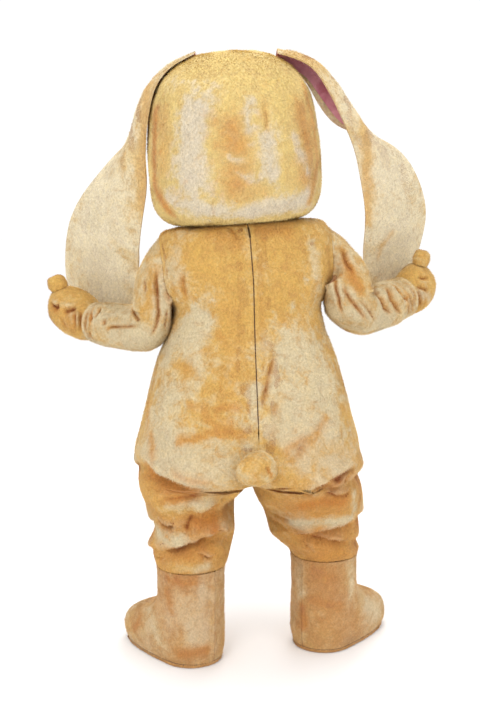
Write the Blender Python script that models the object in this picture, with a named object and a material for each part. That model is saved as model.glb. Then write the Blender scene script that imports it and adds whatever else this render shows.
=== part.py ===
"""Rabbit mascot costume, in the hollow form that its wearer gives it.

A plush jumpsuit zipped up the back, with sleeves, mitts, boots and a round tail, and a padded head
with two long lop ears whose ends hang against the mitts. +Y is the way the wearer faces, +X is to the
wearer's right and +Z is up. The origin is at the middle of the neckline. Heights in the tables are
above the floor under the boots, and x and y in the tables are metres from the middle of the stance.
"""

import math

import bmesh
import bpy
from mathutils import Matrix, Vector

# Driving sizes, in metres.
NECK_HEIGHT = 1.400  # from the floor to the neckline, which is the origin
SEAM = 0.0003  # gap between pieces that are sewn together
REST = 0.0006  # gap between pieces that lie on each other
PLUSH = 0.005  # knitted backing and pressed pile
HEAD_WALL = 0.012  # foam with plush on it
EAR_PLUSH = 0.006
LINING = 0.002
BOOT_WALL = 0.008

LEAN = math.radians(4.0)  # head and shoulders lean to the left
YAW = math.radians(6.5)  # the trunk is turned a little to the left above the legs
NECK_X = -0.036
COLLAR = 0.1155
HEAD_OPENING = 0.1180
OPENING_SHIFT = 0.010  # of the head's opening, and so of the collar, from the head's middle to its right

ARMHOLE_TOP, ARMHOLE_BOTTOM = 1.375, 1.130
ARMHOLE_HALF_DEPTH = 0.090

ZIP_BOTTOM = 0.800
ZIP_CHANNEL = 0.0032  # half the gap between the plush edges at the zip
ZIP_TAPE_WIDTH = 0.014
ZIP_TAPE = 0.001
ZIP_CHAIN_HALF = 0.0025
ZIP_CHAIN = 0.0024

BOOT_TOP = 0.312
BOOT_RADIUS = 0.110
HEM_HEIGHT = 0.245
CROTCH = 0.588
HEM_RADIUS = 0.0990

LEFT, RIGHT = -1, 1
SIDES = {LEFT: "left", RIGHT: "right"}
BACK, FRONT = -1, 1
FACINGS = {BACK: "back", FRONT: "front"}
PANEL_COLUMNS = 9


def table(columns, *rows):
    """A list of rows, each with the columns by name."""
    return [dict(zip(columns.split(), row)) for row in rows]


# How far the middle of the body is from the middle of the stance.
SWAY = table(
    "height x",
    (0.45, 0.0),
    (0.60, -0.006),
    (1.20, -0.010),
    (1.36, -0.020),
    (1.3994, NECK_X + OPENING_SHIFT),
    (1.430, NECK_X + OPENING_SHIFT - 0.0021),
)

# Trunk, the same on both sides. steps is the number of mesh rows to the next station.
TRUNK = table(
    "height outer inner back front steps",
    (1.430, COLLAR, -COLLAR, -COLLAR, COLLAR, 1),
    (1.3994, COLLAR, -COLLAR, -COLLAR, COLLAR, 1),
    (1.3994, 0.200, -0.200, -0.134, 0.136, 1),
    (1.392, 0.246, -0.246, -0.150, 0.150, 1),
    (ARMHOLE_TOP, 0.264, -0.264, -0.157, 0.158, 2),
    (1.325, 0.280, -0.280, -0.166, 0.170, 2),
    (1.255, 0.286, -0.286, -0.172, 0.182, 2),
    (1.185, 0.262, -0.262, -0.176, 0.192, 2),
    (ARMHOLE_BOTTOM, 0.232, -0.232, -0.180, 0.202, 1),
    (1.060, 0.250, -0.250, -0.194, 0.222, 2),
    (0.960, 0.290, -0.290, -0.220, 0.254, 2),
    (ZIP_BOTTOM, 0.331, -0.331, -0.268, 0.292, 2),
)

# Below the hips each side has its own leg. Where inner is negative the two sides meet in the middle.
LEG_COLUMNS = "height outer inner back front steps"
ANKLES = {LEFT: (0.190, -0.080), RIGHT: (0.246, 0.035)}


def hem_rows(side):
    """The leg drops over the boot's rim, turns in on it and ends inside the boot."""
    x, y = ANKLES[side]
    rows = ((0.332, 0.020), (BOOT_TOP + 0.004, 0.014), (BOOT_TOP + REST, 0.007), (BOOT_TOP + REST, 0.0))
    rows += ((0.295, 0.0), (HEM_HEIGHT, 0.0))
    found = []
    for height, wider in rows:
        radius = HEM_RADIUS + wider
        found.append((height, x + radius, x - radius, y - radius, y + radius, 1))
    return table(LEG_COLUMNS, *found)


LEGS = {
    LEFT: table(
        LEG_COLUMNS,
        (0.710, 0.354, -0.354, -0.286, 0.306, 2),
        (0.655, 0.360, -0.270, -0.290, 0.294, 2),
        (0.620, 0.360, -0.150, -0.284, 0.270, 2),
        (CROTCH, 0.357, 0.0, -0.272, 0.240, 2),
        (0.560, 0.350, 0.038, -0.260, 0.206, 2),
        (0.518, 0.336, 0.047, -0.232, 0.160, 2),
        (0.475, 0.322, 0.050, -0.212, 0.122, 3),
        (0.425, 0.310, 0.050, -0.206, 0.092, 3),
        (0.375, 0.322, 0.060, -0.206, 0.064, 2),
    ),
    RIGHT: table(
        LEG_COLUMNS,
        (0.710, 0.354, -0.354, -0.286, 0.306, 2),
        (0.655, 0.355, -0.270, -0.284, 0.302, 2),
        (0.620, 0.360, -0.150, -0.268, 0.294, 2),
        (CROTCH, 0.364, 0.0, -0.246, 0.282, 2),
        (0.560, 0.368, 0.008, -0.222, 0.270, 2),
        (0.518, 0.372, 0.020, -0.178, 0.246, 2),
        (0.475, 0.370, 0.040, -0.140, 0.226, 3),
        (0.425, 0.363, 0.056, -0.112, 0.208, 3),
        (0.375, 0.356, 0.072, -0.100, 0.186, 2),
    ),
}
BODY = {side: TRUNK + LEGS[side] + hem_rows(side) for side in SIDES}
TRUNK_SQUARE, LEG_SQUARE = 0.80, 1.0  # power of a section's sine and cosine: under 1 is squarer

HEAD_SQUARE = 0.90
HEAD = table(
    "height wide back front shift steps",
    (1.918, 0.0, 0.0, 0.0, 0.0, 1),
    (1.911, 0.100, -0.094, 0.100, 0.0, 1),
    (1.889, 0.158, -0.150, 0.158, 0.0, 1),
    (1.850, 0.208, -0.198, 0.210, 0.0, 1),
    (1.795, 0.242, -0.232, 0.246, 0.0, 2),
    (1.690, 0.262, -0.252, 0.268, 0.0, 2),
    (1.590, 0.268, -0.256, 0.272, 0.0, 2),
    (1.490, 0.265, -0.250, 0.264, 0.0, 1),
    (1.445, 0.252, -0.236, 0.248, 0.0, 1),
    (1.415, 0.222, -0.206, 0.216, 0.0, 1),
    (1.400, 0.180, -0.168, 0.176, 0.0, 1),
    (1.400, HEAD_OPENING, -HEAD_OPENING, HEAD_OPENING, OPENING_SHIFT, 0),
)
HEAD_COLUMNS = 12


def between(rows, place):
    """The columns at a place counted in rows, on a smooth curve that never overshoots a row."""
    last = len(rows) - 1
    i = max(0, min(int(place), last - 1))
    t = place - i
    found = {}
    for name in rows[0]:
        a, b, c, d = (rows[max(0, min(k, last))][name] for k in (i - 1, i, i + 1, i + 2))
        start, end = limited((b - a), (c - b)), limited((c - b), (d - c))
        if i == 0:
            start = c - b
        if i == last - 1:
            end = c - b
        rise = c - b
        found[name] = b + t * start + t * t * (3 * rise - 2 * start - end) + t**3 * (start + end - 2 * rise)
    return found


def limited(before, after):
    """The slope of a curve at a row, from the changes before and after it."""
    if before * after <= 0:
        return 0.0
    return 2 * before * after / (before + after)


def places_of(rows):
    """The places of the mesh rows, from each station's steps."""
    places = []
    for i, row in enumerate(rows[:-1]):
        places += [i + k / row["steps"] for k in range(row["steps"])]
    return places + [float(len(rows) - 1)]


def ramp(value, start, end):
    """From 0 at start to 1 at end, with soft ends."""
    t = max(0.0, min(1.0, (value - start) / (end - start)))
    return t * t * (3 - 2 * t)


def power(value, exponent):
    return math.copysign(abs(value) ** exponent, value)


def share_at(rows, height):
    """A place in a table of rising heights."""
    heights = [row["height"] for row in rows]
    height = max(heights[0], min(heights[-1], height))
    i = max(k for k in range(len(rows) - 1) if heights[k] <= height)
    return i + (height - heights[i]) / (heights[i + 1] - heights[i])


def posed(x, y, height):
    """A point of the body in the part's frame: the trunk is turned, sways, and leans at the shoulders."""
    turn = YAW * ramp(height, 0.50, 0.72)
    sway = between(SWAY, share_at(SWAY, height))["x"]
    across = x * math.cos(turn) - y * math.sin(turn) + sway
    lift = math.tan(LEAN) * across * ramp(height, 1.05, 1.30)
    return Vector((across, x * math.sin(turn) + y * math.cos(turn), height + lift - NECK_HEIGHT))


def fold(kind, depth, width, *line):
    return {"kind": kind, "depth": depth, "width": width, "line": line}


def folded(folds, across, along, scale):
    """How far folds push a point out. scale turns across into metres, and along is a height or a length.

    A roll stands out above its line and drops in below it, a crease is a trough and a ridge stands out.
    """
    total = 0.0
    for each in folds:
        nearest, drop = None, 0.0
        points = each["line"]
        for (a0, h0), (a1, h1) in zip(points, points[1:]):
            da, dh = (a1 - a0) * scale, h1 - h0
            pa, ph = (across - a0) * scale, along - h0
            t = max(0.0, min(1.0, (pa * da + ph * dh) / (da * da + dh * dh)))
            gap = math.hypot(pa - t * da, ph - t * dh)
            if nearest is None or gap < nearest:
                nearest, drop = gap, (h0 + t * dh) - along
        shape = math.exp(-((nearest / each["width"]) ** 2))
        if each["kind"] == "roll":
            total -= each["depth"] * math.tanh(drop / 0.012) * shape
        elif each["kind"] == "crease":
            total -= each["depth"] * shape
        else:
            total += each["depth"] * shape
    return total


# Folds of the body: degrees from the side seam (180 is the inside of a leg), height.
BODY_SCALE = 0.0028
BODY_FOLDS = {
    (LEFT, BACK): [
        fold("roll", 0.022, 0.042, (4, 0.672), (48, 0.650), (69, 0.632), (117, 0.590), (165, 0.530)),
        fold("roll", 0.014, 0.026, (159, 0.538), (96, 0.524), (84, 0.466)),
        fold("crease", 0.012, 0.018, (45, 0.503), (69, 0.467)),
        fold("roll", 0.019, 0.030, (180, 0.418), (117, 0.447), (81, 0.428), (28, 0.378)),
        fold("ridge", 0.006, 0.014, (99, 0.389), (123, 0.376), (144, 0.380)),
    ],
    (RIGHT, BACK): [
        fold("roll", 0.022, 0.042, (4, 0.626), (78, 0.612), (105, 0.560), (132, 0.503)),
        fold("crease", 0.010, 0.018, (165, 0.447), (117, 0.417)),
        fold("roll", 0.015, 0.026, (175, 0.368), (108, 0.417), (69, 0.462), (40, 0.452)),
        fold("roll", 0.013, 0.022, (96, 0.412), (51, 0.382), (25, 0.370)),
        fold("crease", 0.009, 0.016, (66, 0.580), (40, 0.577)),
    ],
    (LEFT, FRONT): [
        fold("roll", 0.020, 0.040, (10, 0.660), (60, 0.600), (110, 0.560), (150, 0.530)),
        fold("roll", 0.016, 0.030, (20, 0.480), (80, 0.455), (178, 0.470)),
        fold("roll", 0.014, 0.028, (0, 0.385), (90, 0.390), (178, 0.430)),
    ],
    (RIGHT, FRONT): [
        fold("roll", 0.020, 0.040, (10, 0.640), (60, 0.600), (110, 0.560), (150, 0.520)),
        fold("roll", 0.016, 0.030, (20, 0.480), (80, 0.470), (178, 0.450)),
        fold("roll", 0.014, 0.028, (0, 0.430), (90, 0.400), (178, 0.390)),
    ],
}


def body_section(side, place):
    row = between(BODY[side], place)
    row["square"] = LEG_SQUARE + (TRUNK_SQUARE - LEG_SQUARE) * ramp(row["height"], 0.35, 0.60)
    row["square"] += (1 - row["square"]) * ramp(row["height"], 1.390, 1.3994)
    row["middle"], row["half"] = (row["outer"] + row["inner"]) / 2, (row["outer"] - row["inner"]) / 2
    row["waist"], row["depth"] = (row["front"] + row["back"]) / 2, (row["front"] - row["back"]) / 2
    return row


def centre_gap(facing, place):
    """How far a panel keeps from the middle of the body: half a seam, or half the zip's channel."""
    return ZIP_CHANNEL if facing == BACK and place <= TRUNK.index(TRUNK[-1]) else SEAM / 2


def reach_angle(row, x):
    """The angle at which a section reaches x from the middle, from the side seam."""
    share = max(-1.0, min(1.0, (x - row["middle"]) / row["half"]))
    return math.degrees(math.acos(power(share, 1 / row["square"])))


def depth_angle(row, y):
    """The angle at which a section reaches y from the plane of the side seams."""
    return math.degrees(math.asin(min(1.0, (y / row["depth"]) ** (1 / row["square"]))))


def middle_depth(side, facing, place):
    """The y of a section where it reaches the middle of the body."""
    row = body_section(side, place)
    turn = math.radians(reach_angle(row, 0.0))
    return row["waist"] + facing * row["depth"] * abs(math.sin(turn)) ** row["square"]


def body_point(side, facing, angle, place):
    """A point of the jumpsuit, at an angle from its side seam."""
    row = body_section(side, place)
    turn = math.radians(angle)
    c, s = power(math.cos(turn), row["square"]), power(math.sin(turn), row["square"])
    x = row["middle"] + row["half"] * c
    gap = centre_gap(facing, place)
    near_middle = 1 - ramp(x, gap + 0.006, gap + 0.05)
    out = folded(BODY_FOLDS[side, facing], angle, row["height"], BODY_SCALE)
    out *= ramp(row["height"], BOOT_TOP + 0.015, BOOT_TOP + 0.05) * (1 - near_middle)
    out *= ramp(angle, 4, 18) * ramp(180 - angle, 4, 18)
    x += out * c
    y = row["waist"] + facing * (row["depth"] + out) * s
    if near_middle and row["inner"] <= 0:
        y += near_middle * (middle_depth(-side, facing, place) - middle_depth(side, facing, place)) / 2
    return posed(side * max(x, gap), y, row["height"])


def armhole_depth(height):
    """Half the armhole's depth, front to back, at a height."""
    middle, half = (ARMHOLE_TOP + ARMHOLE_BOTTOM) / 2, (ARMHOLE_TOP - ARMHOLE_BOTTOM) / 2
    share = min(1.0, abs(height - middle) / half)
    return ARMHOLE_HALF_DEPTH * math.sqrt(1 - share**2)


def panel_limits(side, facing):
    """The first and last angle of a body panel at each place."""

    def limits(place):
        row = body_section(side, place)
        last = min(reach_angle(row, centre_gap(facing, place)), 180 - depth_angle(row, SEAM / 2))
        first = depth_angle(row, max(SEAM / 2, armhole_depth(row["height"])))
        return first, last

    return limits


def material(name, colour, roughness, metallic=0.0):
    made = bpy.data.materials.new(name)
    made.use_nodes = True
    shader = made.node_tree.nodes["Principled BSDF"]
    shader.inputs["Base Color"].default_value = (*colour, 1.0)
    shader.inputs["Roughness"].default_value = roughness
    shader.inputs["Metallic"].default_value = metallic
    return made


def solid(name, points, faces, finish):
    """One closed object. Its place is in its mesh."""
    mesh = bpy.data.meshes.new(name)
    mesh.from_pydata([tuple(p) for p in points], [], faces)
    shell = bmesh.new()
    shell.from_mesh(mesh)
    bmesh.ops.recalc_face_normals(shell, faces=shell.faces)
    if shell.calc_volume(signed=True) < 0:
        bmesh.ops.reverse_faces(shell, faces=shell.faces)
    shell.to_mesh(mesh)
    shell.free()
    mesh.materials.append(finish)
    mesh.shade_smooth()
    mesh.set_sharp_from_angle(angle=math.radians(50))
    made = bpy.data.objects.new(name, mesh)
    bpy.context.scene.collection.objects.link(made)
    return made


def wall_of_rows(name, rows, finish, closed):
    """A closed wall from rows of (outer point, inner point). A row of one point is a pole."""
    points, start, faces = [], [], []
    for row in rows:
        start.append(len(points))
        for outer, inner in row:
            points += [outer, inner]

    def corner(i, k, layer):
        return start[i] + 2 * (k % len(rows[i])) + layer

    def add(a, b, c, d):
        for corners in ((a, b, c), (a, c, d)):
            if len(set(corners)) == 3:
                faces.append(corners)

    for i in range(len(rows) - 1):
        wide = max(len(rows[i]), len(rows[i + 1]))
        for k in range(wide if closed else wide - 1):
            for layer in (0, 1):
                above = corner(i, k, layer), corner(i, k + 1, layer)
                add(*above, corner(i + 1, k + 1, layer), corner(i + 1, k, layer))
        for k in () if closed else (0, wide - 1):
            add(corner(i, k, 0), corner(i, k, 1), corner(i + 1, k, 1), corner(i + 1, k, 0))
    for i in (0, len(rows) - 1):
        wide = len(rows[i])
        for k in range(0 if wide == 1 else wide if closed else wide - 1):
            add(corner(i, k, 0), corner(i, k + 1, 0), corner(i, k + 1, 1), corner(i, k, 1))
    return solid(name, points, faces, finish)


def surface_normal(surface, u, v, du, dv):
    across = surface(u + du, v) - surface(u - du, v)
    along = surface(u, v + dv) - surface(u, v - dv)
    return across.cross(along).normalized()


def surface_rows(surface, places, limits, columns, sign, near, far):
    """Rows of (outer, inner) points over a surface: near and far are their depths below it."""
    du, dv = 0.5, 0.01
    rows = []
    for v in places:
        first, last = limits(v)
        row = []
        for k in range(columns + 1):
            u = first + (last - first) * k / columns
            u_in = min(max(u, first + du), last - du) if last - first > 2 * du else (first + last) / 2
            v_in = min(max(v, places[0] + dv), places[-1] - dv)
            out = surface_normal(surface, u_in, v_in, du, dv) * sign
            point = surface(u, v)
            row.append((point - out * near, point - out * far))
        rows.append(row)
    return rows


def squared(rows, normal):
    """The rows with their first and last pairs in planes across a normal, so that two halves meet flat."""
    for row in rows:
        for k in (0, -1):
            outer, inner = row[k]
            row[k] = (outer, inner - normal * (inner - outer).dot(normal))
    return rows


def tube_rows(rings, thickness):
    """Rows of (outer, inner) points of a tube from its outer rings, of which the last may be one point."""
    rows = []
    for i, ring in enumerate(rings):
        before, after = rings[max(0, i - 1)], rings[min(len(rings) - 1, i + 1)]
        axis = (sum(after, Vector()) / len(after)) - (sum(before, Vector()) / len(before))
        if len(ring) == 1:
            rows.append([(ring[0], ring[0] - axis.normalized() * thickness)])
            continue
        middle = sum(ring, Vector()) / len(ring)
        row = []
        for k, point in enumerate(ring):
            across = ring[(k + 1) % len(ring)] - ring[k - 1]
            along = after[k % len(after)] - before[k]
            out = across.cross(along).normalized()
            if out.dot(point - middle) < 0:
                out = -out
            row.append((point, point - out * thickness))
        rows.append(row)
    return rows


PLUSH_TAN = material("tan_plush", (0.76, 0.53, 0.27), 0.9)
SATIN_PINK = material("pink_satin", (0.55, 0.22, 0.27), 0.35)
ZIP_BROWN = material("brown_zip", (0.09, 0.05, 0.04), 0.5)
ZIP_METAL = material("antique_brass", (0.16, 0.10, 0.05), 0.35, 1.0)
EYE_BLACK = material("black_plastic", (0.01, 0.01, 0.01), 0.15)
NOSE_PINK = material("pink_felt", (0.50, 0.20, 0.22), 0.8)
MUZZLE_CREAM = material("cream_plush", (0.80, 0.66, 0.45), 0.9)
SOLE_BROWN = material("sole_felt", (0.30, 0.18, 0.08), 0.95)

for old in list(bpy.data.objects):
    bpy.data.objects.remove(old)


def body_rows(side, facing, near=0.0, far=PLUSH, limits=None, columns=PANEL_COLUMNS, places=None):
    return surface_rows(
        lambda u, v: body_point(side, facing, u, v),
        places or places_of(BODY[side]),
        limits or panel_limits(side, facing),
        columns,
        -side * facing,
        near,
        far,
    )


for side, side_name in SIDES.items():
    for facing, facing_name in FACINGS.items():
        rows = body_rows(side, facing)
        wall_of_rows(f"body_{facing_name}_{side_name}", rows, PLUSH_TAN, closed=False)


# Sleeves. The first station is the middle of the armhole. Angles run from the top of the sleeve to its
# front: deep is the radius at the top, and across is the radius at the front.
ARM_COLUMNS = "x y height across deep steps"
ARMS = {
    LEFT: table(
        ARM_COLUMNS,
        (0.240, 0.000, 1.262, 0.098, 0.104, 1),
        (0.276, -0.006, 1.204, 0.106, 0.094, 1),
        (0.280, -0.014, 1.152, 0.110, 0.088, 1),
        (0.288, -0.020, 1.106, 0.104, 0.088, 1),
        (0.312, -0.016, 1.072, 0.092, 0.086, 1),
        (0.356, 0.014, 1.062, 0.080, 0.078, 1),
        (0.405, 0.050, 1.062, 0.074, 0.074, 2),
        (0.460, 0.094, 1.064, 0.070, 0.072, 2),
        (0.508, 0.132, 1.068, 0.064, 0.066, 0),
    ),
    RIGHT: table(
        ARM_COLUMNS,
        (0.245, 0.000, 1.275, 0.098, 0.104, 1),
        (0.286, -0.006, 1.224, 0.106, 0.098, 1),
        (0.300, -0.012, 1.178, 0.110, 0.092, 1),
        (0.316, -0.014, 1.142, 0.104, 0.090, 1),
        (0.340, 0.000, 1.122, 0.090, 0.086, 1),
        (0.380, 0.032, 1.122, 0.077, 0.078, 1),
        (0.420, 0.062, 1.128, 0.074, 0.076, 2),
        (0.466, 0.102, 1.138, 0.070, 0.074, 2),
        (0.506, 0.134, 1.152, 0.064, 0.068, 0),
    ),
}
ARM_LAST = 8.0
FOREARM_TURN = math.radians(40)  # of the forearm, from sideways towards the front
ARM_SCALE = 0.0013  # metres round the sleeve for each degree
ARM_STEP = 0.045  # metres along the sleeve for each place
SLEEVE_REST = 0.009  # the sleeve's clearance to the trunk, which leaves room between facets


def sleeve_fold(kind, depth, width, *line):
    """A fold whose line is given in degrees round the sleeve and places along it."""
    return fold(kind, depth, width, *[(angle, place * ARM_STEP) for angle, place in line])


SLEEVE_FOLDS = {
    LEFT: [
        sleeve_fold("crease", 0.012, 0.020, (270, 0.6), (265, 2.0), (255, 3.4)),
        sleeve_fold("crease", 0.010, 0.018, (310, 0.6), (300, 2.2), (280, 3.8)),
        sleeve_fold("roll", 0.010, 0.022, (200, 3.4), (250, 3.8), (290, 4.4), (330, 4.6)),
        sleeve_fold("crease", 0.008, 0.016, (240, 6.3), (300, 6.1), (350, 6.2)),
        sleeve_fold("ridge", 0.007, 0.014, (230, 7.2), (300, 7.1), (360, 7.2)),
    ],
    RIGHT: [
        sleeve_fold("crease", 0.012, 0.020, (275, 0.6), (268, 2.0), (258, 3.4)),
        sleeve_fold("crease", 0.010, 0.018, (315, 0.8), (300, 2.4), (270, 4.0)),
        sleeve_fold("crease", 0.010, 0.016, (350, 3.8), (300, 4.8), (250, 5.0)),
        sleeve_fold("crease", 0.009, 0.014, (350, 5.0), (300, 5.8), (240, 5.8)),
        sleeve_fold("ridge", 0.008, 0.014, (350, 6.5), (300, 6.4), (220, 6.4)),
        sleeve_fold("crease", 0.008, 0.012, (350, 7.3), (290, 7.2), (200, 7.2)),
    ],
}


def arm_frame(side, place):
    """The middle of the arm at a place, its radii, and the directions of angles 0 and 90."""
    rows, step = ARMS[side], 0.05
    row = between(rows, place)
    ends = [between(rows, max(0.0, min(ARM_LAST, place + d))) for d in (-step, step)]
    axis = Vector([ends[1][c] - ends[0][c] for c in ("x", "y", "height")])
    axis.x *= side
    axis.normalize()
    turn = FOREARM_TURN * ramp(place, 1.5, 5.0)
    forward = Vector((-side * math.sin(turn), math.cos(turn), 0.0))
    forward = (forward - axis * forward.dot(axis)).normalized()
    up = axis.cross(forward) * side
    here = Vector((side * row["x"], row["y"], row["height"] - NECK_HEIGHT))
    return here, row, up, forward, axis


def arm_point(side, angle, place):
    here, row, up, forward, _ = arm_frame(side, place)
    turn = math.radians(angle)
    out = folded(SLEEVE_FOLDS[side], angle, place * ARM_STEP, ARM_SCALE) * ramp(ARM_LAST - place, 0, 0.5)
    return here + up * (row["deep"] + out) * math.cos(turn) + forward * (row["across"] + out) * math.sin(turn)


def unposed(point):
    """The x, y and height of a point of the part before the trunk was posed."""
    height = point.z + NECK_HEIGHT
    for _ in range(4):
        height = point.z + NECK_HEIGHT - math.tan(LEAN) * point.x * ramp(height, 1.05, 1.30)
    turn = YAW * ramp(height, 0.50, 0.72)
    x = point.x - between(SWAY, share_at(SWAY, height))["x"]
    c, s = math.cos(turn), math.sin(turn)
    return x * c + point.y * s, point.y * c - x * s, height


def clear_of_trunk(point, gap):
    """The point, or the nearest one outwards that keeps a gap to the trunk."""
    x, y, height = unposed(point)
    upright = [dict(row, height=-row["height"]) for row in TRUNK]
    row = body_section(LEFT, share_at(upright, -height))
    share = 2 / row["square"]
    reach = (abs(x) / (row["outer"] + gap)) ** share + (abs(y - row["waist"]) / (row["depth"] + gap)) ** share
    if reach >= 1:
        return point
    grow = reach ** (-1 / share)
    return posed(x * grow, row["waist"] + (y - row["waist"]) * grow, height)


def armhole_ring(side, depth):
    """The armhole's edge at a depth in the cloth, from its top over the front and back again."""
    heights = (ARMHOLE_BOTTOM - SEAM, ARMHOLE_TOP + SEAM)
    places = [p for p in places_of(BODY[side]) if heights[0] < between(BODY[side], p)["height"] < heights[1]]
    edges = {}
    for facing in FACINGS:
        edges[facing] = [row[0] for row in body_rows(side, facing)]
        first = places_of(BODY[side]).index(places[0])
        edges[facing] = edges[facing][first : first + len(places)]
    top = [(a + b) / 2 for a, b in zip(edges[BACK][0], edges[FRONT][0])]
    bottom = [(a + b) / 2 for a, b in zip(edges[BACK][-1], edges[FRONT][-1])]
    loop = [top, *edges[FRONT][1:-1], bottom, *reversed(edges[BACK][1:-1])]
    ring = []
    for k, (outer, inner) in enumerate(loop):
        before, after = loop[k - 1][0], loop[(k + 1) % len(loop)][0]
        into = (after - before).cross(outer - inner).normalized() * side
        ring.append(outer + (inner - outer) * depth + into * SEAM * 2)
    return ring


def sleeve_rings(side):
    hole = armhole_ring(side, 0.0)
    rings = [armhole_ring(side, 1.0), hole]
    count = len(hole)
    for place in places_of(ARMS[side])[1:]:
        ring = [arm_point(side, 360 * k / count, place) for k in range(count)]
        ring = [clear_of_trunk(point, SLEEVE_REST) for point in ring]
        if place == 1:
            swell = [point + Vector((side * 0.020, 0.0, 0.0)) for point in hole]
            rings.append([a * 0.7 + b * 0.3 for a, b in zip(swell, ring)])
        rings.append(ring)
    return rings


for side, side_name in SIDES.items():
    wall_of_rows(f"sleeve_{side_name}", tube_rows(sleeve_rings(side), PLUSH), PLUSH_TAN, closed=True)

# Mitts. A mitt's open cuff is inside the sleeve's end.
MITT_WALL = 0.006
MITT_SIDES = 14
CUFF_GAP = 0.0021
MITT_COLUMNS = "x y height across deep steps"
MITTS = {
    LEFT: table(
        MITT_COLUMNS,
        (0.484, 0.113, 1.066, 0.0, 0.0, 1),
        (0.514, 0.137, 1.068, 0.0, 0.0, 1),
        (0.528, 0.147, 1.072, 0.068, 0.072, 1),
        (0.560, 0.170, 1.086, 0.074, 0.082, 1),
        (0.598, 0.196, 1.100, 0.072, 0.084, 1),
        (0.634, 0.218, 1.110, 0.060, 0.070, 1),
        (0.656, 0.232, 1.112, 0.038, 0.050, 1),
        (0.666, 0.240, 1.114, 0.0, 0.0, 0),
    ),
    RIGHT: table(
        MITT_COLUMNS,
        (0.484, 0.116, 1.144, 0.0, 0.0, 1),
        (0.510, 0.138, 1.154, 0.0, 0.0, 1),
        (0.520, 0.148, 1.160, 0.064, 0.072, 1),
        (0.540, 0.166, 1.174, 0.066, 0.082, 1),
        (0.562, 0.184, 1.186, 0.062, 0.082, 1),
        (0.584, 0.200, 1.194, 0.050, 0.066, 1),
        (0.598, 0.210, 1.198, 0.032, 0.042, 1),
        (0.606, 0.216, 1.200, 0.0, 0.0, 0),
    ),
}
for side, rows in MITTS.items():
    for row in rows[:2]:
        row.update(across=0.064 - PLUSH - CUFF_GAP, deep=ARMS[side][-1]["deep"] - PLUSH - CUFF_GAP)


def mitt_point(side, angle, place):
    row = between(MITTS[side], place)
    turn = math.radians(angle)
    _, _, up, forward, _ = arm_frame(side, ARM_LAST)
    here = Vector((side * row["x"], row["y"], row["height"] - NECK_HEIGHT))
    return here + up * row["deep"] * math.cos(turn) + forward * row["across"] * math.sin(turn)


def mitt_rings(side):
    rings = []
    for place in places_of(MITTS[side]):
        rings.append([mitt_point(side, 360 * k / MITT_SIDES, place) for k in range(MITT_SIDES)])
    return rings[:-1] + [rings[-1][:1]]


for side, side_name in SIDES.items():
    wall_of_rows(f"mitt_{side_name}", tube_rows(mitt_rings(side), MITT_WALL), PLUSH_TAN, closed=True)


def dome(share):
    """The share of a pad's rise at a share of its radius."""
    return (1 - share**3) ** 0.6


ROUND_PAD = [(share, dome(share)) for share in (1.0, 0.97, 0.88, 0.70, 0.40, 0.0)]
BALL = ((0.60, 0.0), (0.90, 0.16), (1.0, 0.42), (0.90, 0.70), (0.58, 0.92), (0.0, 1.0))
STUB = ((0.86, 0.0), (0.92, 0.25), (0.88, 0.58), (0.66, 0.86), (0.34, 0.98), (0.0, 1.0))


def raised(base, rise, share, angle, height, rest=REST):
    """A point of a pad: its upper part is flat across its foot, and its lower part follows the carrier."""
    foot, normal = base(0.0, 0.0)
    point, _ = base(share, angle)
    sunk = (point - foot).dot(normal)
    return point - normal * sunk * ramp(height, 0.0, 0.8) + normal * (rest + rise * height)


def pad(name, base, rise, profile, sides, finish, rest=REST):
    """A stuffed piece on a carrier. base(share, angle) is a point and normal of the carrier's surface.

    profile gives, from the rim of the foot to the tip, the share of the radius and of the rise.
    """
    foot, normal = base(0.0, 0.0)
    rows = [[foot + normal * rest]]
    for share in (profile[0][0] / 2, profile[0][0]):
        ring = [base(share, 360 * k / sides) for k in range(sides)]
        rows.append([point + out * rest for point, out in ring])
    for share, height in profile[1:-1]:
        rows.append([raised(base, rise, share, 360 * k / sides, height, rest) for k in range(sides)])
    rows.append([foot + normal * (rest + rise)])
    points, start, faces = [], [], []
    for row in rows:
        start.append(len(points))
        points += row
    for i in range(len(rows) - 1):
        for k in range(sides):
            around = ((i, k), (i, k + 1), (i + 1, k + 1), (i + 1, k))
            corners = [start[j] + m % len(rows[j]) for j, m in around]
            faces.append(list(dict.fromkeys(corners)))
    return solid(name, points, faces, finish)


def patch(surface, u, v, wide, high, sign, du=1.0, dv=0.02):
    """A round foot on a surface at (u, v), with its half sizes across u and along v."""
    across = (surface(u + du, v) - surface(u - du, v)) / (2 * du)
    along = (surface(u, v + dv) - surface(u, v - dv)) / (2 * dv)

    def base(share, angle):
        turn = math.radians(angle)
        aside, ahead = share * math.cos(turn), share * math.sin(turn)
        here = (u + wide / across.length * aside, v + high / along.length * ahead)
        return surface(*here), surface_normal(surface, *here, du, dv) * sign

    return base


# Boots. Each is an outer and an inner half, sewn along the heel and the toe, on a flat sole.
BOOT_COLUMNS = 6
TOE_TURN = {LEFT: math.radians(46), RIGHT: math.radians(44)}
SOLE = 0.012
BOOTS = table(
    "height wide toe heel steps",
    (BOOT_TOP, BOOT_RADIUS, BOOT_RADIUS, BOOT_RADIUS, 2),
    (0.205, BOOT_RADIUS, 0.113, 0.110, 1),
    (0.175, 0.109, 0.134, 0.109, 1),
    (0.150, 0.109, 0.184, 0.109, 1),
    (0.125, 0.110, 0.238, 0.109, 1),
    (0.095, 0.110, 0.284, 0.109, 1),
    (0.060, 0.110, 0.302, 0.108, 1),
    (0.030, 0.107, 0.298, 0.106, 1),
    (SOLE + SEAM, 0.100, 0.286, 0.100, 0),
)
INNER, OUTER = -1, 1


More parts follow.
